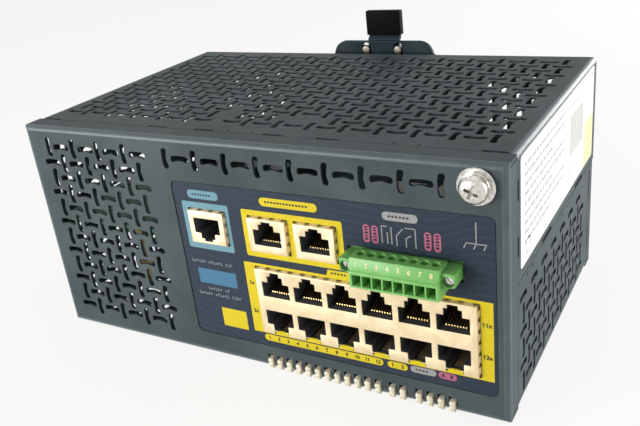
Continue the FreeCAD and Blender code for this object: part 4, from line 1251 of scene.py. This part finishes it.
def make_fingers():
    """The sprung fingers round the jacks' shells, that touch the edge of their windows."""
    whole = Shape()
    bulge = ((-0.95, 0.02), (-0.5, 0.22), (0.1, 0.44), (0.9, 0.52), (1.8, 0.34), (2.9, 0.04))
    inset, share, thick = 0.6, 0.62, 0.16    # from a shell's corner, of the step, of a finger
    counts = {"port_block": (6, 17), **{jack: (3, 3) for jack in JACKS}}
    for jack, (rows, columns) in counts.items():
        left, right, low, high = front_box(jack + "_shell")
        step = (high - low - 2 * inset) / rows
        for x, out in ((right, 1), (left, -1)):
            one = Shape()
            path = [(x + out * swell, y, low + inset + step / 2) for y, swell in bulge]
            strip(one, path, Z, step * share, thick)
            whole.take(repeated(one, shell_metal, rows, (0, 0, step)))
        step = (right - left - 2 * inset) / columns
        for z, out in ((high, 1), (low, -1)):
            if out < 0 and jack == "port_block":
                continue
            one = Shape()
            path = [(left + inset + step / 2, y, z + out * swell) for y, swell in bulge]
            strip(one, path, X, step * share, thick)
            whole.take(repeated(one, shell_metal, columns, (step, 0, 0)))
    settle(whole.ready("shell_fingers", shell_metal), "shell_metal")


def make_shells():
    for node in ("port_block", *JACKS):
        shell = refined(node + "_shell", node + "_metal", shell_metal, round_by=0.09)
        settle(shell, "shell_metal", node + "_shell")
        body = refined(node + "_insert", node + "_body", jack_plastic, round_by=0.1, steps=1)
        settle(body, "jack_plastic", node + "_insert")


def wires(x, base, up, columns):
    """Eight spring wires in each mouth of a row: a bent nose in front, then a rise to the back."""
    one = Shape()
    path = [(2.0, 0.1), (1.8, 0.4), (2.0, 0.7), (2.7, 0.95), (8.0, 2.6), (12.0, 4.1)]
    first = x - (CONTACTS - 1) / 2 * CONTACT_PITCH
    strip(one, [(first, y, base + up * z) for y, z in path], X, width=0.46, thick=0.3)
    return repeated(one, contact_gold, CONTACTS, (CONTACT_PITCH, 0, 0), columns, (JACK_PITCH, 0, 0))


def comb(x, base, up, columns):
    """The plastic ribs between the wires of each mouth."""
    one = Shape()
    ribs = CONTACTS + 1
    left = x - ribs / 2 * CONTACT_PITCH + 0.36
    low, high = sorted((base, base + up * 0.7))
    one.box((left, 1.2, low), (left + 0.3, 11.5, high))
    return repeated(one, jack_plastic, ribs, (CONTACT_PITCH, 0, 0), columns, (JACK_PITCH, 0, 0))


def make_contacts():
    gold, ribs = Shape(), Shape()
    first = mouth_columns()[0]
    low = front_box("port_block_shell")[2]
    lower, upper = BLOCK_MOUTHS
    rows = [(first, low + upper, 1, JACK_COLUMNS), (first, low + lower, -1, JACK_COLUMNS)]
    for jack, up in zip(JACKS, (-1, 1, 1)):
        left, right, low, high = front_box(jack + "_shell")
        rows.append(((left + right) / 2, low + MOUTH_RISE if up > 0 else high - MOUTH_RISE, up, 1))
    for x, base, up, columns in rows:
        base += up * 0.12
        gold.take(wires(x, base, up, columns))
        ribs.take(comb(x, base, up, columns))
    nodes = ["port_block_contacts"] + [jack + "_contacts" for jack in JACKS]
    settle(gold.ready("contact_wires", contact_gold), "contact_gold", *nodes)
    settle(ribs.ready("contact_combs", jack_plastic), "jack_plastic")


# ---- terminal connector -------------------------------------------------------------------
def carved(shape, cutter):
    """A shape with a cutter taken out of it. Both are in case millimetres, and both are used up."""
    holders = []
    for part in (shape, cutter):
        bmesh.ops.recalc_face_normals(part.mesh, faces=part.mesh.faces)
        holders.append(linked("part", part.spent()))
    solid, tool = holders
    cut = solid.modifiers.new("cut", "BOOLEAN")
    cut.operation, cut.solver, cut.object = "DIFFERENCE", "EXACT", tool
    made = Shape()
    made.take(evaluated(solid))
    bpy.data.objects.remove(tool)
    return made


def slotted_head(centre, axis, radius, height, turn=0.0):
    """A cheese head with a slot, seated at the centre and rising along the axis."""
    axis, across, other = square_to(axis)
    head, cutter = Shape(), Shape()
    rim = 0.18
    profile = [(0.0, radius), (height - rim, radius), (height, radius - rim), (height, 0.0)]
    head.turned(centre, axis, profile, steps=24)
    reach, half = radius + 1, 0.24
    along, aside = across * cos(turn) + other * sin(turn), other * cos(turn) - across * sin(turn)
    base = Vector(centre) + axis * (height - 0.7)
    corners = [(-reach, -half), (reach, -half), (reach, half), (-reach, half)]
    cutter.prism([base + along * u + aside * v for u, v in corners], axis * 2)
    return carved(head, cutter)


def pan_head(seat, axis, radius, height, turn):
    """A domed head with a cross recess, seated at a place and rising along the axis."""
    axis, across, other = square_to(axis)
    rim = height * 0.33
    foot = [(0.0, radius * 0.96), (0.04 * radius, radius), (rim, radius)]
    angles = [radians(a) for a in range(10, 90, 10)]
    dome = [(rim + (height - rim) * sin(a), radius * cos(a) ** 0.62) for a in angles]
    head = Shape()
    head.turned(seat, axis, foot + dome + [(height, 0.0)], steps=44)
    corners = ((-1, -1), (1, -1), (1, 1), (-1, 1))
    half = radius * 0.105      # half the width of a bar of the cross
    for spin in (turn, turn + pi / 2):
        along = across * cos(spin) + other * sin(spin)
        aside = axis.cross(along)
        rings = []
        for rise, reach in ((1.3, 0.60), (0.95, 0.50), (0.40, 0.20)):
            base = seat + axis * (height * rise)
            rings.append([base + along * (a * radius * reach) + aside * (b * half) for a, b in corners])
        cutter = Shape()
        cutter.skin(rings)
        head = carved(head, cutter)
    return head


plug_low, plug_high = box_of("terminal_plug")
PLUG_FACE, PLUG_BOTTOM, PLUG_TOP = plug_low.y + 0.3, plug_low.z, plug_high.z
PLUG_MIDDLE = (plug_low.x + plug_high.x) / 2
PLUG_HALF = 16.0               # half the width of its block
FIRST_POLE = PLUG_MIDDLE - (POLES - 1) / 2 * POLE_PITCH
SCREW_LINE = -4.6              # the clamp screws, from the front
EAR_MIDDLE = front_box("terminal_header")[2] + 3.7
EARS = (PLUG_MIDDLE - PLUG_HALF - 2.3, PLUG_MIDDLE + PLUG_HALF + 2.3)
EAR_FRONT = -7.3
FLANGE_SEAT = -4.0             # where the heads of the two screws in the ears sit


def plug_ear(x, way):
    """An ear of the terminal plug, with a well for its screw. way is the side that it stands out to."""
    ear, well = Shape(), Shape()
    inner, outer = x - way * 2.5, x + way * 2.3
    low, high = EAR_MIDDLE - 2.9, EAR_MIDDLE + 2.9
    outline = ((inner, low), (outer, low + 1.0), (outer, high), (inner, high))
    ear.prism([(u, EAR_FRONT, v) for u, v in outline], (0, 8.9, 0))
    ear.ease(0.3, corner=20)
    bore = [(0, 2.3), (1.0, 2.05), (4.2, 2.0), (4.21, 1.2), (12, 1.2)]
    well.turned((x, EAR_FRONT - 1.0, EAR_MIDDLE), Y, bore, steps=28)
    return carved(ear, well)


def stepped_block():
    """The plug's body, with a wire entry in front and a screw well on top for each pole."""
    face, bottom, top = PLUG_FACE, PLUG_BOTTOM, PLUG_TOP
    side = [(face - 0.3, bottom), (-0.4, bottom), (-0.4, top - 0.7), (-1.2, top), (-8.3, top),
            (face, top - 3.8), (face, top - 4.2), (face + 0.35, top - 4.4), (face - 0.3, top - 4.9)]
    body = Shape()
    body.prism([(PLUG_MIDDLE - PLUG_HALF, y, z) for y, z in side], (2 * PLUG_HALF, 0, 0))
    body.ease(0.22, corner=40)
    # an entry narrows on its way in: (place, half its width, half its height)
    entries = ((face - 1, 1.72, 2.15), (face + 0.5, 1.56, 1.95), (face + 7, 1.5, 1.8))
    entry_middle = bottom + 2.95
    well = [(-1.0, 1.42), (5.25, 1.42), (6.4, 1.7)]
    tools = Shape()
    for k in range(POLES):
        x = FIRST_POLE + k * POLE_PITCH
        tools.skin([[(u, y, v) for u, v in rectangle(x - w, x + w, entry_middle - h, entry_middle + h)]
                    for y, w, h in entries])
        tools.turned((x, SCREW_LINE, top - 5.4), Z, well, steps=24)
    return carved(body, tools)


def make_plug_body():
    """The plug-in terminal: its block, an ear each side, a spigot behind, and a ridge round each well."""
    body = stepped_block()
    for x, way in zip(EARS, (-1, 1)):
        body.take(plug_ear(x, way).spent())
    spigot = Shape()
    reach = PLUG_HALF - 0.6
    spigot.box((PLUG_MIDDLE - reach, -0.6, EAR_MIDDLE - 2.5), (PLUG_MIDDLE + reach, 7.4, EAR_MIDDLE + 2.5))
    spigot.ease(0.2, corner=40)
    body.take(spigot.spent())
    arcs, radius = Shape(), 1.75
    ridge = [(radius * cos(radians(a)), radius * sin(radians(a))) for a in range(20, 161, 20)]
    path = [(FIRST_POLE + u, SCREW_LINE + v, PLUG_TOP + 0.12) for u, v in ridge]
    strip(arcs, path, Z, width=0.3, thick=0.35)
    body.take(repeated(arcs, plug_green, POLES, (POLE_PITCH, 0, 0)))
    settle(body.ready("plug_body", plug_green), "plug_green", "terminal_plug")


def make_plug_screws():
    screws = Shape()
    seat = (FIRST_POLE, SCREW_LINE, PLUG_TOP - 6.4)
    head = slotted_head(seat, Z, radius=1.34, height=2.2, turn=0.5)
    screws.take(repeated(head, screw_nickel, POLES, (POLE_PITCH, 0, 0)))
    settle(screws.ready("clamp_heads", screw_nickel), "screw_nickel", "terminal_clamp_screws")
    screws = Shape()
    for x, turn in zip(EARS, (0.6, 1.45)):
        seat = (x, FLANGE_SEAT, EAR_MIDDLE)
        screws.take(slotted_head(seat, -Y, radius=1.8, height=2.0, turn=turn).spent())
        screws.turned(seat, Y, [(0, 1.15), (14.0, 1.15), (14.6, 0.8)], steps=16)
    settle(screws.ready("flange_heads", screw_nickel), "screw_nickel", "terminal_flange_screws")


def make_plug_numbers():
    """The poles' numbers, on the slope above the entries."""
    lean = Vector((0, 1.1, 3.8)).normalized()
    marks = Print("print_plug", ink_pale_yellow, (0, PLUG_FACE, PLUG_TOP - 3.8), (X, lean, X.cross(lean)))
    for k in range(POLES):
        marks.text(str(k + 1), FIRST_POLE + k * POLE_PITCH, 1.75, height=2.3)
    marks.done("plug_green")


def make_header():
    body = refined("terminal_header", "header_body", plug_green, round_by=0.2)
    settle(body, "plug_green", "terminal_header")
    pins = refined("terminal_header_pins", "header_pins", pin_tin, round_by=0.1, steps=1)
    settle(pins, "pin_tin", "terminal_header_pins")


# ---- ground screw and light pipes ---------------------------------------------------------
def make_ground_screw():
    """A pan head with a cross recess, over a split washer and a flat one."""
    low, high = box_of("ground_flat_washer")
    centre = Vector(((low.x + high.x) / 2, 0, (low.z + high.z) / 2))
    flat = Shape()
    washer = [(0, 6.1), (0.2, 6.25), (0.9, 6.25), (1.1, 6.05), (1.1, 2.6), (0.0, 2.6)]
    flat.turned(centre, -Y, washer, steps=48)
    settle(flat.ready("flat_washer", screw_nickel), "screw_nickel", "ground_flat_washer")
    section = ((2.8, 0), (4.85, 0), (5.0, 0.15), (5.0, 0.75), (4.85, 0.9), (2.8, 0.9))
    steps, slit, spring = 44, 1.2, 0.18        # the slit in steps, and how far the ends spring apart
    rings = []
    for k in range(steps):
        angle = 2 * pi * (k + 0.5) / (steps + slit) - 0.9
        out = Vector((cos(angle), 0, sin(angle)))
        rise = -1.1 - spring * k / steps
        rings.append([centre + out * radius + Y * (rise - thick) for radius, thick in section])
    lock = Shape()
    lock.skin(rings)
    settle(lock.ready("lock_washer", screw_nickel), "screw_nickel", "ground_lock_washer")
    seat = centre - Y * 2.1
    head = pan_head(seat, -Y, radius=4.7, height=3.6, turn=0.38)
    head.turned(seat, Y, [(0, 2.4), (6.6, 2.4), (7.3, 1.9)], steps=24)
    settle(head.ready("ground_head", screw_nickel), "screw_nickel", "ground_screw")


def make_light_pipes():
    """Milky guides, each with a nose of two lobes, that run back under the board to a light chip."""
    for node, count in PIPE_GROUPS:
        low, high = box_of(node)
        width = high.x - low.x - (count - 1) * PIPE_PITCH
        side_room = 0.2
        nose = [(0.1, 4.5), (-0.75, 4.3), (-1.15, 3.7), (-1.1, 3.0), (-0.65, 2.6), (-1.15, 2.2), (-1.4, 1.5),
                (-1.3, 0.7), (-0.7, 0.12)]
        stem = [(1.6, 0.1), (2.9, 1.5), (7.6, 2.2), (10.9, 5.2), (10.9, high.z), (8.7, high.z), (8.7, 5.2)]
        one = Shape()
        one.prism([(low.x + side_room, y, z) for y, z in nose + stem], (width - 2 * side_room, 0, 0))
        one.ease(0.28, corner=60)
        whole = Shape()
        whole.take(repeated(one, pipe_clear, count, (PIPE_PITCH, 0, 0)))
        settle(whole.ready(node.replace("pipes", "guides"), pipe_clear), "pipe_clear", node)


# ---- the label on the side ----------------------------------------------------------------
SIDE_FILM = 0.2


def dashed_rows(ink):
    """Rows of plain dashes, as long as words are. Every third row is short."""
    first, top, row_step, word_gap, tall = 17.0, 88.0, 3.4, 1.0, 1.1
    for row in range(9):
        y, z = first, top - row_step * row
        end = 70.0 - 18.0 * (row % 3 == 2)
        for word in range(14):
            length = 2.2 + 2.6 * ((row * 5 + word * 3) % 4) / 3
            if y + length > end:
                break
            ink.field(rectangle(y, y + length, z, z + tall))
            y += length + word_gap


def bars(ink):
    """Bars of three widths by turns, that stand for nothing."""
    y, low, high, gap = 80.0, 68.0, 84.0, 0.75
    for bar in range(14):
        width = 0.5 + 0.4 * ((bar * 7) % 3)
        ink.field(rectangle(y, y + width, low, high))
        y += width + gap


def make_side_label():
    """A pale rating label: rows of plain dashes, a framed bar pattern and a yellow patch."""
    low, high = box_of("side_label")
    shape = Shape()
    outline = round_rectangle(low.y, high.y, low.z, high.z, 1.5)
    plate(shape, [outline], (WIDTH, 0, 0), SIDE_AXES, thick=SIDE_FILM, material=label_white)
    settle(shape.ready("rating_label", label_white), "label_white", "side_label")
    face = (WIDTH + SIDE_FILM, 0, 0)
    patch = Print("print_side_patch", ink_pale_yellow, face, SIDE_AXES)
    patch.field(rectangle(106.0, high.y - 0.5, low.z + 0.4, 73.0))
    patch.done("label_white")
    grey = Print("print_side_text", ink_faint, face, SIDE_AXES)
    line = 0.5
    dashed_rows(grey)
    grey.frame(78.0, 102.0, 62.0, 88.0, radius=1.0, line=line)
    bars(grey)
    grey.frame(18.0, 24.0, 56.0, 62.0, radius=2.9, line=line)
    grey.done("label_white")


# ---- rail adapter and latch ---------------------------------------------------------------
def make_adapter_screws():
    low, high = box_of("adapter_screws")
    screws = Shape()
    radius, height, rise = 2.6, 2.2, 3.0       # of a head, and of its middle above the group's lower edge
    seat = high.y - height
    places = [(x, z) for x in (low.x + radius, high.x - radius) for z in (low.z + rise, high.z - rise)]
    for index, (x, z) in enumerate(places):
        screws.take(pan_head(Vector((x, seat, z)), Y, radius, height, turn=0.4 + 1.1 * index).spent())
        screws.turned((x, seat, z), -Y, [(0, 1.6), (5.0, 1.6), (5.2, 1.3)], steps=20)
    settle(screws.ready("adapter_heads", screw_nickel), "screw_nickel", "adapter_screws")


def make_latch_spring():
    """A coil of wire that presses the latch down, with its end turns closed."""
    low, high = box_of("latch_spring")
    middle = (low + high) / 2
    wire, turns, steps, sides = 0.32, 9, 20, 8
    closing = 0.4              # how much closer the end turns lie than the middle ones
    radius = (high.x - low.x) / 2 - wire
    run = high.z - low.z - 2 * wire
    ring = [2 * pi * j / sides for j in range(sides)]
    spring, rings = Shape(), []
    for k in range(turns * steps + 1):
        part = k / (turns * steps)
        rise = part - closing * sin(2 * pi * part) / (2 * pi)
        angle = 2 * pi * turns * part
        out = Vector((cos(angle), sin(angle), 0))
        centre = Vector((middle.x, middle.y, low.z + wire + run * rise)) + out * radius
        rings.append([centre + (out * cos(a) + Z * sin(a)) * wire for a in ring])
    spring.skin(rings)
    piece = settle(spring.ready("spring_coil", spring_steel), "spring_steel", "latch_spring")
    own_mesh(piece)


def make_adapter():
    """The plate and its two saddles, which stay, and the latch, which slides."""
    for node, name, material, slot, round_by, steps, body in (
            ("adapter_plate", "adapter_sheet", adapter_paint, "adapter_paint", 0.3, 2, "case"),
            ("rail_saddle_left", "left_saddle", saddle_black, "saddle_black", 0.4, 2, "case"),
            ("rail_saddle_right", "right_saddle", saddle_black, "saddle_black", 0.4, 2, "case"),
            ("latch_slider", "slider_sheet", adapter_paint, "adapter_paint", 0.25, 2, "latch"),
            ("latch_pins", "guide_pins", pin_steel, "pin_tin", 0.12, 2, "latch"),
            ("latch_grip", "grip_cap", grip_black, "jack_plastic", 0.8, 3, "latch")):
        settle(refined(node, name, material, round_by, steps), slot, node, body=body)


# ---- inside -------------------------------------------------------------------------------
def make_capacitors():
    """Cans in a blue sleeve that is crimped near the board, with a bare top."""
    low, high = box_of("power_capacitors")
    radius, tall = (high.y - low.y) / 2, high.z - low.z
    cans = Shape()
    for x in (low.x + radius, high.x - radius):
        foot = (x, low.y + radius, low.z)
        sleeve = [(0.0, radius - 0.5), (0.4, radius), (1.8, radius), (2.5, radius - 0.55), (3.2, radius),
                  (tall - 0.5, radius), (tall - 0.1, radius - 0.4), (tall - 0.1, 0.0)]
        cans.turned(foot, Z, sleeve, steps=40)
        top = [(tall - 0.2, radius - 0.9), (tall, radius - 1.0), (tall, 0.0)]
        cans.turned(foot, Z, top, steps=40, finish=1)
    settle(cans.ready("capacitor_cans", can_blue, can_top), "can_blue", "power_capacitors")


def make_inside():
    """Parts on the boards, with the small edge radii that real ones have."""
    for node, name, material, slot, round_by in (
            ("heat_sink", "sink_fins", sink_black, "sink_black", 0.2),
            ("switch_chip", "switch_package", chip_black, "chip_black", 0.15),
            ("line_magnetics", "magnetics_packages", chip_black, "chip_black", 0.25),
            ("memory_chips", "memory_packages", chip_black, "chip_black", 0.12),
            ("power_transformer", "transformer_core", core_grey, "core_grey", 0.4),
            ("power_inductor", "inductor_core", core_grey, "core_grey", 0.5),
            ("alarm_relays", "relay_cases", relay_white, "relay_white", 0.4)):
        settle(refined(node, name, material, round_by), slot, node)


SLOT_FINISHES = (case_paint, label_navy, label_white, shell_metal, jack_plastic, contact_gold, plug_green,
                 pin_tin, screw_nickel, pipe_clear, diode, board_green, post_brass, chip_black, sink_black,
                 core_grey, can_blue, relay_white, adapter_paint, saddle_black, spring_steel)


def finish_nodes():
    """Gives each CAD node the finish that has its slot's name."""
    for make in SLOT_FINISHES:
        make()
    for part in frame["record"]["subparts"]:
        materials = frame["nodes"][part["node"]].data.materials
        materials.clear()
        materials.append(finishes[part["material_slot"]])


finish_nodes()
make_front_sheet()
make_cover_sheet()
make_chassis_sheet()
make_rear_sheet()
make_front_label()
make_front_prints()
make_shells()
make_fingers()
make_contacts()
make_plug_body()
make_plug_screws()
make_plug_numbers()
make_header()
make_ground_screw()
make_light_pipes()
make_side_label()
make_adapter_screws()
make_latch_spring()
make_adapter()
make_capacitors()
make_inside()
make_camera()
make_light()
make_floor()
